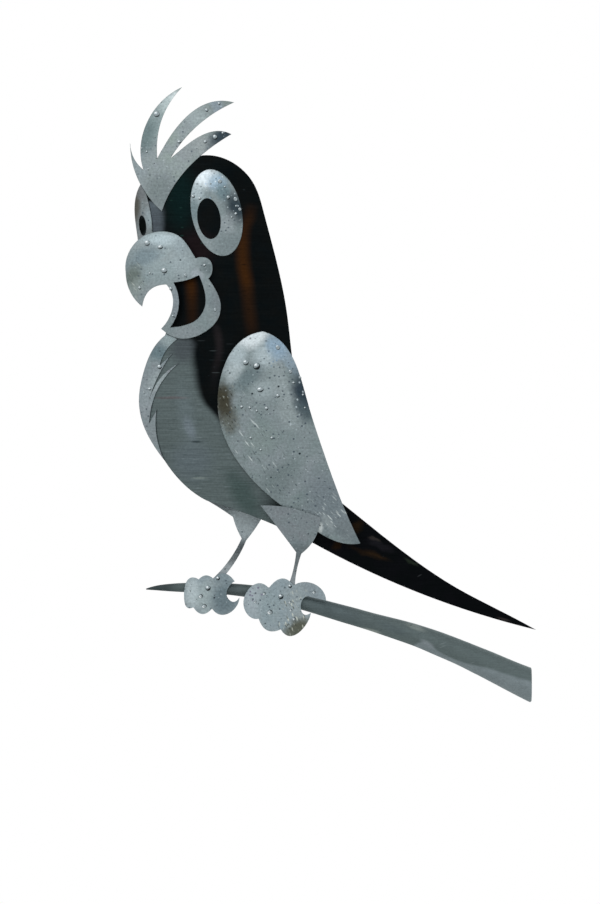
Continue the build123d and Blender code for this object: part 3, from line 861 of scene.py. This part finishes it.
# Spring steel blade, oil-blacked and glossy, with brown and grey heat marks
TAIL_STEEL = SteelFinish(
    "oil_blacked_blade",
    "#090c0d",
    "#0c0d10",
    metallic=1.0,
    roughness=0.32,
    grain=0.08,
    brush=0.1,
    brush_angle=-24,
    layers=(
        Patch((-146, 105), (3, 5), "#21160b", 0.7, 20, 4),
        Patch((-121, 98), (15, 2.4), "#21180f", 0.6, 17, 4),
        Patch((-117, 97), (8, 1.0), "#2b1f13", 0.5, 17, 2),
        Patch((-131, 118), (4, 6), "#22180d", 0.7, 40, 3),
        Patch((-118, 109), (5, 1.4), "#35312f", 0.7, 20, 3),
        Patch((-113, 104), (10, 2.6), "#19191d", 0.8, 25, 3),
        Patch((-90, 92), (6, 1.4), "#232b22", 0.7, 27, 3),
        Patch((-21, 49), (5, 1.0), "#2f2b2b", 0.8, 15, 0.5),
        Marks((-108, 95), (40, 20), "#4a4d50", 0.6, share=0.25, cell=(9, 1.8), size=(0.08, 0.3), turn=28),
    ),
)

# Forged and filed bar: dull grey-green steel, with a painted highlight band along its lower side and painted
# highlights on a few flats
PERCH_STEEL = SteelFinish(
    "forged_and_filed_bar",
    "#647071",
    "#687475",
    metallic=1.0,
    roughness=0.72,
    grain=0.05,
    brush=0.05,
    brush_angle=-20,
    projection=Projection.ALL_ROUND,
    layers=(
        Patch((-287, 72), (22, 8), "#3f494b", 0.9),
        Patch((-223, 70), (14, 6), "#586264", 0.8),
        Patch((-150, 55), (30, 8), "#5d696c", 0.8, 18),
        Patch((-104, 42), (14, 3), "#5a6669", 0.6, 20, 1.5),
        # Painted highlight: the pale band below this border, along the lower side of the bar
        Divide(
            (
                (-120, -40, 3), (-96, 10, 3), (-89, 29, 2.5), (-81, 31.8, 2),
                (-70.4, 25.6, 2), (-65, 22.4, 2), (-49, 16, 2), (-33, 12.6, 2.5),
                (-18, 7.6, 3), (6, 1.0, 3),
            ),
            "#838e92",
            Axis.LEVEL,
        ),
        # Painted highlights on the flats
        Patch((-87, 43), (8, 1.9), "#87918f", 0.9, 20, 0.8),
        Patch((-120, 40.5), (7, 1.3), "#8d9693", 0.9, 16, 0.6),
        Patch((-78, 30.5), (6, 2.2), "#8a9398", 0.8, 30, 1),
        Marks((-100, 44), (22, 9), "#3f4b4d", 0.6, share=0.5, cell=(13, 2.6), size=(0.1, 0.3), turn=24),
        Marks((-60, 22), (60, 26), "#8d979a", 0.4, share=0.4, cell=(14, 1.7), size=(0.08, 0.3), turn=21),
    ),
)

# Bright zinc-plated screws, nuts and spacers: smooth and pale, with faint plating clouds
ZINC_PLATE = SteelFinish(
    "bright_zinc_plate",
    "#949da0",
    "#a1a9ab",
    metallic=1.0,
    roughness=0.28,
    grain=0.05,
    brush=0.03,
    mottle_size=4,
    projection=Projection.ALL_ROUND,
)

# Oil-filled bronze, turned: warm brown-gold with faint lathe lines
BUSH_BRONZE = SteelFinish(
    "turned_bronze",
    "#a8793f",
    "#94683a",
    metallic=1.0,
    roughness=0.34,
    grain=0.06,
    brush=0.08,
    mottle_size=3,
    projection=Projection.ALL_ROUND,
)


@dataclass(frozen=True)
class DropFinish:
    """Solidified zinc drops, with a painted highlight on one side and painted shade on the other.

    Attributes:
        name: The material's name.
        painted_highlight: Colour of the painted highlight on the side towards light_from.
        body: Colour of the middle.
        painted_shade: Colour of the painted shade on the side away from light_from.
        light_from: The side that the painted highlight is on, with Y outwards on both sides of the bird.
        highlight_span: Where the painted highlight begins and is full, as cosines of the angle to light_from.
        shade_span: Where the painted shade begins and is full, as such cosines.
        roughness: How dull the drops are.
    """

    name: str = "zinc_drops"
    painted_highlight: str = "#e6ecef"
    body: str = "#8f9a9e"
    painted_shade: str = "#23292c"
    light_from: Triple = (-0.45, 0.55, 0.7)
    highlight_span: Pair = (0.68, 0.93)
    shade_span: Pair = (0.5, 0.1)
    roughness: float = 0.22

    def material(self) -> Material:
        """Build the node material.

        Returns:
            The material, which reads the drops' own normals.
        """
        material = bpy.data.materials.new(self.name)
        tree = cleared_tree(material)
        where = add_node(tree, "ShaderNodeTexCoord").outputs["Normal"]
        normal = add_node(tree, "ShaderNodeSeparateXYZ", {0: where})
        outwards = add_node(tree, "ShaderNodeMath", {0: normal.outputs[1]}, operation="ABSOLUTE")
        folded = add_node(tree, "ShaderNodeCombineXYZ", {0: normal, 1: outwards, 2: normal.outputs[2]})
        sides = {0: folded, 1: Vector(self.light_from).normalized()}
        facing = add_node(tree, "ShaderNodeVectorMath", sides, operation="DOT_PRODUCT").outputs["Value"]
        colour = linear(self.body)
        # Painted highlight on the side that faces light_from, painted shade on the side that faces away
        for (begins, full), above in ((self.highlight_span, self.painted_highlight), (self.shade_span, self.painted_shade)):
            fade = {0: facing, 1: begins, 2: full}
            share = add_node(tree, "ShaderNodeMapRange", fade, interpolation_type="SMOOTHSTEP")
            colour = tint(tree, share, colour, linear(above))
        surface = {"Base Color": colour, "Metallic": 1.0, "Roughness": self.roughness}
        shader = add_node(tree, "ShaderNodeBsdfPrincipled", surface)
        add_node(tree, "ShaderNodeOutputMaterial", {"Surface": shader})
        return material


# ------------------------------------------------------------------ sheet forms


@dataclass(frozen=True)
class Form:
    """The crowned former that a plate was rolled on.

    Attributes:
        centre: Middle of the crown, as x and z in millimetres.
        lean: Degrees that its length leans towards -X at the top.
        crown: How far the middle stands in front of the bird's mid-plane.
        across: Radius across the form.
        along: Radius along the form.
    """

    centre: Pair
    lean: float
    crown: float
    across: float
    along: float

    def depth(self, x: float, z: float, offset: float) -> float:
        """How far the form's outside stands from the mid-plane.

        Args:
            x: Place along the perch, in millimetres.
            z: Height, in millimetres.
            offset: Extra distance outwards along the form's own normal.

        Returns:
            The distance in millimetres.
        """
        tilt = math.radians(self.lean)
        dx, dz = x - self.centre[0], z - self.centre[1]
        side = dx * math.cos(tilt) + dz * math.sin(tilt)
        up = dz * math.cos(tilt) - dx * math.sin(tilt)
        reach = math.sqrt((self.along + offset) ** 2 - up**2) - self.along + self.across
        return self.crown - self.across + math.sqrt(reach**2 - side**2)


BODY_FORM = Form((-228.5, 251), 7, 18, 200, 1200)
WING_FORM = Form((-189.5, 190), 18.6, 25.5, 170, 2500)
BEAK_FORM = Form((-262, 300), 0, 26, 120, 160)

# Width and depth of the broad and the fine dents of hand-worked sheet, in millimetres
BROAD_DENTS = (26, 0.16)
FINE_DENTS = (8, 0.03)


def hammering(x: float, z: float) -> float:
    """Find the unevenness of hand-worked sheet, which plates that lie on each other share.

    Args:
        x: Place along the perch, in millimetres.
        z: Height, in millimetres.

    Returns:
        How far the sheet stands out there, in millimetres.
    """
    broad = noise.noise(Vector((x / BROAD_DENTS[0], 0.0, z / BROAD_DENTS[0])))
    fine = noise.noise(Vector((x / FINE_DENTS[0], 3.0, z / FINE_DENTS[0])))
    return BROAD_DENTS[1] * broad + FINE_DENTS[1] * fine


def on_form(form: Form, outside: float) -> Callable[[float, float], float]:
    """Give the function that finds the face of a plate on a form."""
    return lambda x, z: form.depth(x, z, outside) + hammering(x, z)


class Side(Enum):
    """The side of the bird that a piece is on."""

    NEAR = -1
    FAR = 1


# ------------------------------------------------------------------ pieces

PLATE_SLOT = "galvanised_plate"

# Least share of a face's normal that points outwards where the face is on a plate's outer skin
SKIN_FACING = 0.6

# Bends up to this many degrees are smoothed away in a flat blank and in a cut plate
BLANK_FLAT = 2.0
CUT_FLAT = 0.8

# Corners that turn by more than this many degrees are filed
FILED_CORNER = 50

# How far the ruled lines are pulled back from whole steps, which keeps them off straight edges
LINE_SHIFT = 0.37

# How near a ruled line uses a corner that is there, in metres
LINE_CATCH = 1e-7

# Crossings of ruled lines that are closer than this are joined, in millimetres
LINE_WELD = 0.02


@dataclass
class PressedPlate:
    """A plate cut from sheet and rolled over a form.

    Attributes:
        node: The CAD node that it stands for.
        form: The form that it was rolled on.
        outside: How far its outer face stands from the form, in millimetres.
        finish: Its surface.
        body: The body that it rides on.
        side: The side of the bird that its outer face looks to.
        grid: Spacing of the mesh lines, in millimetres.
        slot: The record's material slot; not used.
    """

    node: str
    form: Form
    outside: float
    finish: Material
    body: str = "root"
    side: Side = Side.NEAR
    grid: float = 2.5
    slot: str = PLATE_SLOT

    def build(self) -> Piece:
        """Make the plate and hang it on its body.

        Returns:
            The plate.
        """
        bm = self._flat_blank()
        self._rule_lines(bm)
        self._mark_rim(bm)
        self._roll(bm)
        piece = finished_object(self.node + "_rolled", bm)
        return hang(piece, self.finish, self.body, self.node)

    def _flat_blank(self) -> Mesh:
        """Take the outer skin of the CAD plate and lay it flat.

        Returns:
            The flat blank, in triangles.
        """
        bm = merged_copy(self.node)
        hidden = [face for face in bm.faces if face.normal.y * self.side.value < SKIN_FACING]
        bmesh.ops.delete(bm, geom=hidden, context="FACES")
        for vert in bm.verts:
            vert.co.y = 0.0
        flat = math.radians(BLANK_FLAT)
        bmesh.ops.dissolve_limit(
            bm, angle_limit=flat, verts=bm.verts, edges=bm.edges, use_dissolve_boundaries=False
        )
        bmesh.ops.triangulate(bm, faces=bm.faces)
        return bm

    def _rule_lines(self, bm: Mesh) -> None:
        """Cut the blank along an even grid so that it can bend.

        Args:
            bm: The flat blank.
        """
        low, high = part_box(self.node)
        step = self.grid * MM
        for axis, direction in ((0, Vector((1, 0, 0))), (2, Vector((0, 0, 1)))):
            for count in range(1, int((high[axis] - low[axis]) / step) + 1):
                at = direction * (low[axis] + (count - LINE_SHIFT) * step)
                everything = bm.verts[:] + bm.edges[:] + bm.faces[:]
                bmesh.ops.bisect_plane(bm, geom=everything, dist=LINE_CATCH, plane_co=at, plane_no=direction)
        bmesh.ops.remove_doubles(bm, verts=bm.verts, dist=LINE_WELD * MM)

    def _mark_rim(self, bm: Mesh) -> None:
        """Set a narrow strip along the rim and remember its outer vertices.

        Args:
            bm: The ruled blank.
        """
        rim = bm.verts.layers.int.new("rim")
        bmesh.ops.inset_region(
            bm, faces=bm.faces[:], thickness=RIM_BREAK * MM, use_boundary=True, use_even_offset=False
        )
        for vert in bm.verts:
            vert[rim] = int(vert.is_boundary)

    def _roll(self, bm: Mesh) -> None:
        """Give the blank its thickness, press both faces over the form and break the sheared rim.

        Args:
            bm: The blank with its rim marked.
        """
        rim = bm.verts.layers.int["rim"]
        made = bmesh.ops.extrude_face_region(bm, geom=bm.faces[:])
        inner = {item for item in made["geom"] if isinstance(item, bmesh.types.BMVert)}
        for vert in bm.verts:
            x, z = vert.co.x / MM, vert.co.z / MM
            lost = RIM_BREAK * vert[rim]
            offset = self.outside - SKIN + lost if vert in inner else self.outside - lost
            vert.co.y = self.side.value * MM * (self.form.depth(x, z, offset) + hammering(x, z))
        bmesh.ops.recalc_face_normals(bm, faces=bm.faces)


@dataclass
class CutPlate:
    """A flat or folded plate with its edges filed.

    Attributes:
        node: The CAD node that it stands for.
        finish: Its surface.
        slot: The record's material slot; not used.
    """

    node: str
    finish: Material
    slot: str = PLATE_SLOT

    def build(self) -> Piece:
        """Make the plate and hang it on the bird.

        Returns:
            The plate.
        """
        bm = merged_copy(self.node)
        bmesh.ops.dissolve_limit(bm, angle_limit=math.radians(CUT_FLAT), verts=bm.verts, edges=bm.edges)
        least = math.radians(FILED_CORNER)
        corners = [edge for edge in bm.edges if edge.is_manifold and edge.calc_face_angle() > least]
        bmesh.ops.bevel(
            bm,
            geom=corners,
            offset=RIM_BREAK * MM,
            segments=2,
            profile=0.5,
            affect="EDGES",
            material=-1,
            clamp_overlap=True,
        )
        return hang(finished_object(self.node + "_filed", bm), self.finish, "root", self.node)


@dataclass(frozen=True)
class Drop:
    """One solidified drop on a plate.

    Attributes:
        x: Where it sits along the perch, in millimetres.
        z: Its height, in millimetres.
        radius: Its radius in millimetres.
        cratered: Whether its top has sunk in.
    """

    x: float
    z: float
    radius: float
    cratered: bool = False


def drops_at(*rows: tuple) -> tuple[Drop, ...]:
    """Read drops from rows of x, z, radius and, for a cratered one, True."""
    return tuple(Drop(*row) for row in rows)


@dataclass
class DropGroup:
    """The drops that sit on one plate.

    Attributes:
        name: The piece's name.
        drops: The drops.
        seat: How far the plate's face stands from the mid-plane at a place, in millimetres.
        finish: Their surface.
        body: The body that they ride on.
        side: The side of the bird that they look to.
        rise: Height of a drop over its radius.
        tallest: The most that a drop rises, in millimetres.
        stretch: Least and most that a drop is drawn out.
        crater: Reach of a crater in a drop of radius one.
        crater_floor: Share of the height that is left at a crater's middle, and its slope outwards.
        rng: Random numbers for the shapes.
    """

    name: str
    drops: tuple[Drop, ...]
    seat: Callable[[float, float], float]
    finish: Material
    body: str = "root"
    side: Side = Side.NEAR
    rise: float = 0.55
    tallest: float = 1.0
    stretch: Pair = (-0.08, 0.16)
    crater: float = 0.62
    crater_floor: float = 0.45
    rng: random.Random = field(default_factory=lambda: random.Random(SEED))

    def build(self) -> Piece:
        """Make all the drops as one piece and hang it on its body.

        Returns:
            The piece.
        """
        bm = bmesh.new()
        for drop in self.drops:
            self._add(bm, drop)
        return hang(finished_object(self.name, bm, 80), self.finish, self.body)

    def _add(self, bm: Mesh, drop: Drop) -> None:
        """Add one drop, a little out of round.

        Args:
            bm: The mesh that gets the drop.
            drop: The drop.
        """
        verts = bmesh.ops.create_uvsphere(bm, u_segments=16, v_segments=10, radius=1.0)["verts"]
        upright = Matrix.Rotation(math.radians(90), 3, "X")
        bmesh.ops.rotate(bm, verts=verts, cent=(0, 0, 0), matrix=upright)
        if drop.cratered:
            for vert in verts:
                span = math.hypot(vert.co.x, vert.co.z)
                if span < self.crater:
                    vert.co.y *= self.crater_floor + self.crater_floor * span
        height = min(self.rise * drop.radius, self.tallest)
        stretch = 1 + self.rng.uniform(*self.stretch)
        size = (drop.radius / stretch * MM, height * MM, drop.radius * stretch * MM)
        bmesh.ops.scale(bm, verts=verts, vec=size)
        turn = Matrix.Rotation(self.rng.uniform(0, math.pi), 3, "Y")
        bmesh.ops.rotate(bm, verts=verts, cent=(0, 0, 0), matrix=turn)
        level = self.side.value * self.seat(drop.x, drop.z)
        bmesh.ops.translate(bm, verts=verts, vec=(drop.x * MM, level * MM, drop.z * MM))


@dataclass
class Head:
    """Crest, eyes and beak.

    Attributes:
        crest_drops: The drops on the crest.
        eye_drops: The drops on the near eye.
        beak_drops: The drops on the beak and the jaw ring.
    """

    crest_drops: tuple[Drop, ...] = drops_at(
        (-280.9, 427.5, 2.3), (-263.9, 406.7, 1.4), (-288.4, 399.4, 0.9), (-234.2, 435.5, 1.1),
        (-243.5, 430.5, 1.3), (-237.2, 410.2, 1.9), (-244.5, 406.7, 1.3), (-231.5, 413.3, 1.0),
        (-292.0, 402.0, 0.7), (-287.2, 386.2, 0.8),
    )
    eye_drops: tuple[Drop, ...] = drops_at(
        (-253.5, 365.6, 1.3), (-248.6, 364.1, 1.1), (-233.6, 376.9, 1.6, True), (-227.3, 364.9, 1.5),
        (-221.8, 363.6, 1.7, True), (-218.6, 356.0, 1.3, True), (-221.6, 352.6, 1.2), (-224.6, 350.0, 0.8),
        (-221.4, 358.4, 0.8), (-240.5, 375.2, 0.8, True), (-229.8, 372.8, 0.8),
    )
    beak_drops: tuple[Drop, ...] = drops_at(
        (-287.6, 330.4, 2.2), (-277.9, 327.4, 1.8), (-274.9, 309.8, 2.2), (-259.1, 306.4, 1.3, True),
        (-293.3, 297.0, 1.2), (-270.0, 296.3, 1.3), (-244.9, 313.9, 1.1), (-285.8, 307.9, 0.8),
        (-237.0, 280.5, 1.2, True), (-268.5, 276.0, 0.9),
    )

    def build(self, drop_finish: Material) -> list[Piece]:
        """Make the head's pieces.

        Args:
            drop_finish: The surface of the drops.

        Returns:
            The pieces.
        """
        parts = [
            PressedPlate("crest_plate", BODY_FORM, SKIN, CREST_ZINC.material(), grid=2.0),
            PressedPlate("near_eye_plate", BODY_FORM, SKIN, NEAR_EYE_ZINC.material(), grid=1.5),
            PressedPlate("far_eye_plate", BODY_FORM, SKIN, FAR_EYE_ZINC.material(), grid=1.5),
            PressedPlate("beak_plate", BEAK_FORM, 0.0, BEAK_ZINC.material(), grid=1.5),
            DropGroup("crest_drops", self.crest_drops, on_form(BODY_FORM, SKIN), drop_finish),
            DropGroup("near_eye_drops", self.eye_drops, on_form(BODY_FORM, SKIN), drop_finish),
            DropGroup("beak_drops", self.beak_drops, on_form(BEAK_FORM, 0.0), drop_finish),
        ]
        return [part.build() for part in parts]


@dataclass
class Torso:
    """The two blackened shells, the band between them and the bib.

    Attributes:
        bib_drops: The drops on the bib.
    """

    bib_drops: tuple[Drop, ...] = drops_at((-278.6, 238.1, 1.8), (-286.1, 221.6, 1.3), (-290.3, 219.0, 0.7))

    def build(self, drop_finish: Material) -> list[Piece]:
        """Make the torso's pieces.

        Args:
            drop_finish: The surface of the drops.

        Returns:
            The pieces.
        """
        face, back = FRONT_SHELL_STEEL.material(), BACK_SHELL_STEEL.material()
        dress("rim_band", back)
        parts = [
            PressedPlate("front_shell", BODY_FORM, 0.0, face, grid=3.0, slot="painted_shell"),
            PressedPlate("back_shell", BODY_FORM, 0.0, back, side=Side.FAR, grid=3.0, slot="painted_shell"),
            PressedPlate("breast_bib", BODY_FORM, SKIN, BIB_ZINC.material(), grid=2.0),
            DropGroup("bib_drops", self.bib_drops, on_form(BODY_FORM, SKIN), drop_finish),
        ]
        return [part.build() for part in parts]


@dataclass
class Wings:
    """The two flapping wings.

    Attributes:
        drops: The drops on the outer face of each wing.
    """

    drops: tuple[Drop, ...] = drops_at(
        (-214.1, 241.1, 2.1), (-203.3, 220.9, 2.2), (-190.1, 216.4, 1.4), (-198.6, 206.9, 1.4),
        (-180.8, 234.4, 1.4, True), (-190.1, 252.4, 1.7, True), (-217.1, 208.1, 1.2), (-211.1, 207.4, 1.0),
        (-205.9, 205.1, 0.9), (-210.4, 184.9, 1.0), (-194.6, 184.9, 1.1), (-202.9, 175.9, 0.8),
        (-178.4, 226.1, 0.9), (-171.4, 217.1, 0.9), (-169.9, 207.4, 0.8), (-173.6, 230.0, 1.0, True),
    )

    def build(self, drop_finish: Material) -> list[Piece]:
        """Make the wings and dress their hubs.

        Args:
            drop_finish: The surface of the drops.

        Returns:
            The pieces, near side first.
        """
        zinc = WING_ZINC.material()
        made = []
        for side, name in ((Side.NEAR, "near_wing"), (Side.FAR, "far_wing")):
            plate = PressedPlate(name, WING_FORM, 0.0, zinc, name, side)
            group = DropGroup(name + "_drops", self.drops, on_form(WING_FORM, 0.0), drop_finish, name, side)
            made += [plate.build(), group.build()]
            dress(name + "_hub", zinc)
        return made


@dataclass
class Legs:
    """Folded leg strips, lobed feet and the toe plates behind the perch.

    Attributes:
        near_drops: The drops on the near foot.
        far_drops: The drops on the far foot.
    """

    near_drops: tuple[Drop, ...] = drops_at(
        (-196.1, 54.4, 2.0), (-200.3, 68.3, 1.2), (-163.1, 69.4, 1.2), (-181.1, 61.9, 1.1),
        (-180.4, 55.9, 1.0), (-178.1, 49.5, 1.2), (-207.0, 62.0, 0.8),
    )
    far_drops: tuple[Drop, ...] = drops_at((-247.9, 66.4, 1.6), (-245.3, 58.9, 1.7), (-256.0, 70.0, 0.7))

    def build(self) -> list[Piece]:
        """Make the legs and feet, with drops whose painted highlight is on their lower side.

        Returns:
            The pieces.
        """
        # The drops on the feet have their painted highlight low and their painted shade high
        drop_finish = DropFinish("zinc_drops_on_feet", light_from=(-0.55, 0.6, -0.45)).material()
        strip, foot = LEG_ZINC.material(), FOOT_ZINC.material()
        parts: list[CutPlate | DropGroup] = [CutPlate(name, strip) for name in ("near_leg", "far_leg")]
        for name in ("near_foot", "far_foot", "near_rear_toes", "far_rear_toes"):
            parts.append(CutPlate(name, foot))
        near_face, far_face = (-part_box(name)[0].y / MM for name in ("near_foot", "far_foot"))
        parts.append(DropGroup("near_foot_drops", self.near_drops, lambda x, z: near_face, drop_finish))
        parts.append(DropGroup("far_foot_drops", self.far_drops, lambda x, z: far_face, drop_finish))
        return [part.build() for part in parts]


@dataclass
class Perch:
    """The forged arm that the bird stands on, with sizes in millimetres.

    Attributes:
        flat_length: Length of a hammer flat.
        flat_width: Width of a hammer flat.
        flat_depth: Depth of a hammer flat.
        true_end: Length at the cut end that stays true.
        true_radius: Distance from the socket's axis within which the arm stays true.
        fade: Length over which the flats grow to their depth.
    """

    flat_length: float = 34.0
    flat_width: float = 9.0
    flat_depth: float = 0.35
    true_end: float = 4.0
    true_radius: float = 8.0
    fade: float = 30.0

    def build(self) -> list[Piece]:
        """Make the arm with its hammer flats.

        Returns:
            The arm alone.
        """
        bm = merged_copy("perch")
        bm.normal_update()
        moves = {}
        for vert in bm.verts:
            x, y, z = (c / MM for c in vert.co)
            if x < -self.true_end and math.hypot(y, z) > self.true_radius:
                place = Vector((x / self.flat_length, y / self.flat_width, z / self.flat_width))
                share = min(1, (x + self.true_end) / -self.fade)
                moves[vert] = vert.normal * (self.flat_depth * MM * noise.noise(place) * share)
        for vert, move in moves.items():
            vert.co += move
        piece = finished_object("perch_forged", bm, 35)
        return [hang(piece, PERCH_STEEL.material(), "root", "perch")]


@dataclass
class Hardware:
    """Screws, nuts, spacers, bushes and pins, which keep their CAD shapes, and the tail blade.

    Attributes:
        bronze: The bronze nodes.
        domed: The nodes with domed heads, which look like zinc drops and get their painted highlight and
            painted shade.
    """

    bronze: tuple[str, ...] = ("near_shoulder_bush", "far_shoulder_bush")
    domed: tuple[str, ...] = ("axle_caps", "foot_bolts", "ankle_rivets")

    def build(self, drop_finish: Material) -> list[Piece]:
        """Dress the fasteners and make the tail blade.

        Args:
            drop_finish: The surface of the domed heads.

        Returns:
            The tail blade alone.
        """
        zinc = ZINC_PLATE.material()
        for row in frame["record"]["subparts"]:
            if row["material_slot"] == "zinc_fasteners":
                dress(row["node"], zinc)
        bronze = BUSH_BRONZE.material()
        for name in self.bronze:
            dress(name, bronze)
        # Domed heads get the drops' painted highlight and painted shade
        for name in self.domed:
            dress(name, drop_finish)
        return [CutPlate("tail_blade", TAIL_STEEL.material(), "blackened_plate").build()]


# ------------------------------------------------------------------ studio


@dataclass
class Studio:
    """Pale floor, soft lamps, white surroundings and the camera, with sizes in metres.

    Attributes:
        aim: The point that the camera and the lamps look at.
        distance: How far the camera stands off.
        view_height: Height of the picture at the bird.
        sensor: Width of the camera's sensor, in millimetres.
        floor_drop: How far the floor lies under the origin.
        floor_reach: Half the width of the floor.
        sight: How far the camera sees.
        sky: Strength of the surroundings where they light the bird.
        lamps: Name, place, width and power in watts of each lamp.
    """

    aim: Triple = (-0.1736, 0.0, 0.1744)
    distance: float = 6.0
    view_height: float = 0.678
    sensor: float = 36.0
    floor_drop: float = 0.25
    floor_reach: float = 1.3
    sight: float = 50.0
    sky: float = 0.85
    lamps: tuple[tuple[str, Triple, float, float], ...] = (
        ("key", (-1.1, -2.6, 1.7), 1.8, 12),
        ("fill", (1.9, -1.8, 0.9), 2.0, 5),
        ("back", (0.6, 2.4, 1.6), 1.8, 12),
    )

    def build(self) -> None:
        """Make the whole studio."""
        self._camera()
        self._floor()
        self._world()
        for name, place, size, power in self.lamps:
            self._lamp(name, place, size, power)
        bpy.context.scene.view_settings.view_transform = "Standard"

    def _camera(self) -> None:
        """Set a long lens far away, level with the middle of the bird."""
        data = bpy.data.cameras.new("camera")
        data.sensor_width = self.sensor
        data.lens = self.sensor * self.distance / self.view_height
        data.clip_end = self.sight
        camera = bpy.data.objects.new("camera", data)
        camera.location = Vector(self.aim) - Vector((0, self.distance, 0))
        camera.rotation_euler = (math.radians(90), 0, 0)
        bpy.context.scene.collection.objects.link(camera)
        bpy.context.scene.camera = camera

    def _floor(self) -> None:
        """Lay a pale floor under the bird."""
        bm = bmesh.new()
        bmesh.ops.create_grid(bm, x_segments=4, y_segments=4, size=self.floor_reach)
        bmesh.ops.translate(bm, verts=bm.verts, vec=(self.aim[0], 0, -self.floor_drop))
        floor = finished_object("floor", bm)
        material = bpy.data.materials.new("pale_floor_board")
        tree = cleared_tree(material)
        surface = {"Base Color": linear("#f3f3f1"), "Roughness": 0.8}
        shader = add_node(tree, "ShaderNodeBsdfPrincipled", surface)
        add_node(tree, "ShaderNodeOutputMaterial", {"Surface": shader})
        floor.data.materials.append(material)

    def _world(self) -> None:
        """White where it is seen or mirrored, and softer where it lights."""
        world = bpy.data.worlds.new("surroundings")
        bpy.context.scene.world = world
        tree = cleared_tree(world)
        rays = add_node(tree, "ShaderNodeLightPath").outputs
        mirrored = {0: rays["Is Camera Ray"], 1: rays["Is Glossy Ray"]}
        seen = add_node(tree, "ShaderNodeMath", mirrored, operation="MAXIMUM")
        either = {0: seen, 1: rays["Is Transmission Ray"]}
        seen = add_node(tree, "ShaderNodeMath", either, operation="MAXIMUM")
        strength = add_node(tree, "ShaderNodeMapRange", {0: seen, 3: self.sky, 4: 1.0})
        glow = add_node(tree, "ShaderNodeBackground", {"Color": (1, 1, 1, 1), "Strength": strength})
        add_node(tree, "ShaderNodeOutputWorld", {"Surface": glow})

    def _lamp(self, name: str, place: Triple, size: float, power: float) -> None:
        """Hang a square soft lamp that looks at the bird.

        Args:
            name: The lamp's name.
            place: Where it hangs, in metres.
            size: Its width, in metres.
            power: Its power, in watts.
        """
        data = bpy.data.lights.new(name, "AREA")
        data.size = size
        data.energy = power
        lamp = bpy.data.objects.new(name, data)
        lamp.location = place
        lamp.rotation_euler = (Vector(self.aim) - Vector(place)).to_track_quat("-Z", "Y").to_euler()
        bpy.context.scene.collection.objects.link(lamp)


def main() -> None:
    """Build the studio and the bird, and report each piece."""
    Studio().build()
    drop_finish = DropFinish().material()
    made = Perch().build() + Torso().build(drop_finish) + Head().build(drop_finish)
    made += Wings().build(drop_finish) + Legs().build() + Hardware().build(drop_finish)
    for piece in made:
        log.info("%s: %d faces", piece.name, len(piece.data.polygons))


if __name__ == "__main__":
    main()
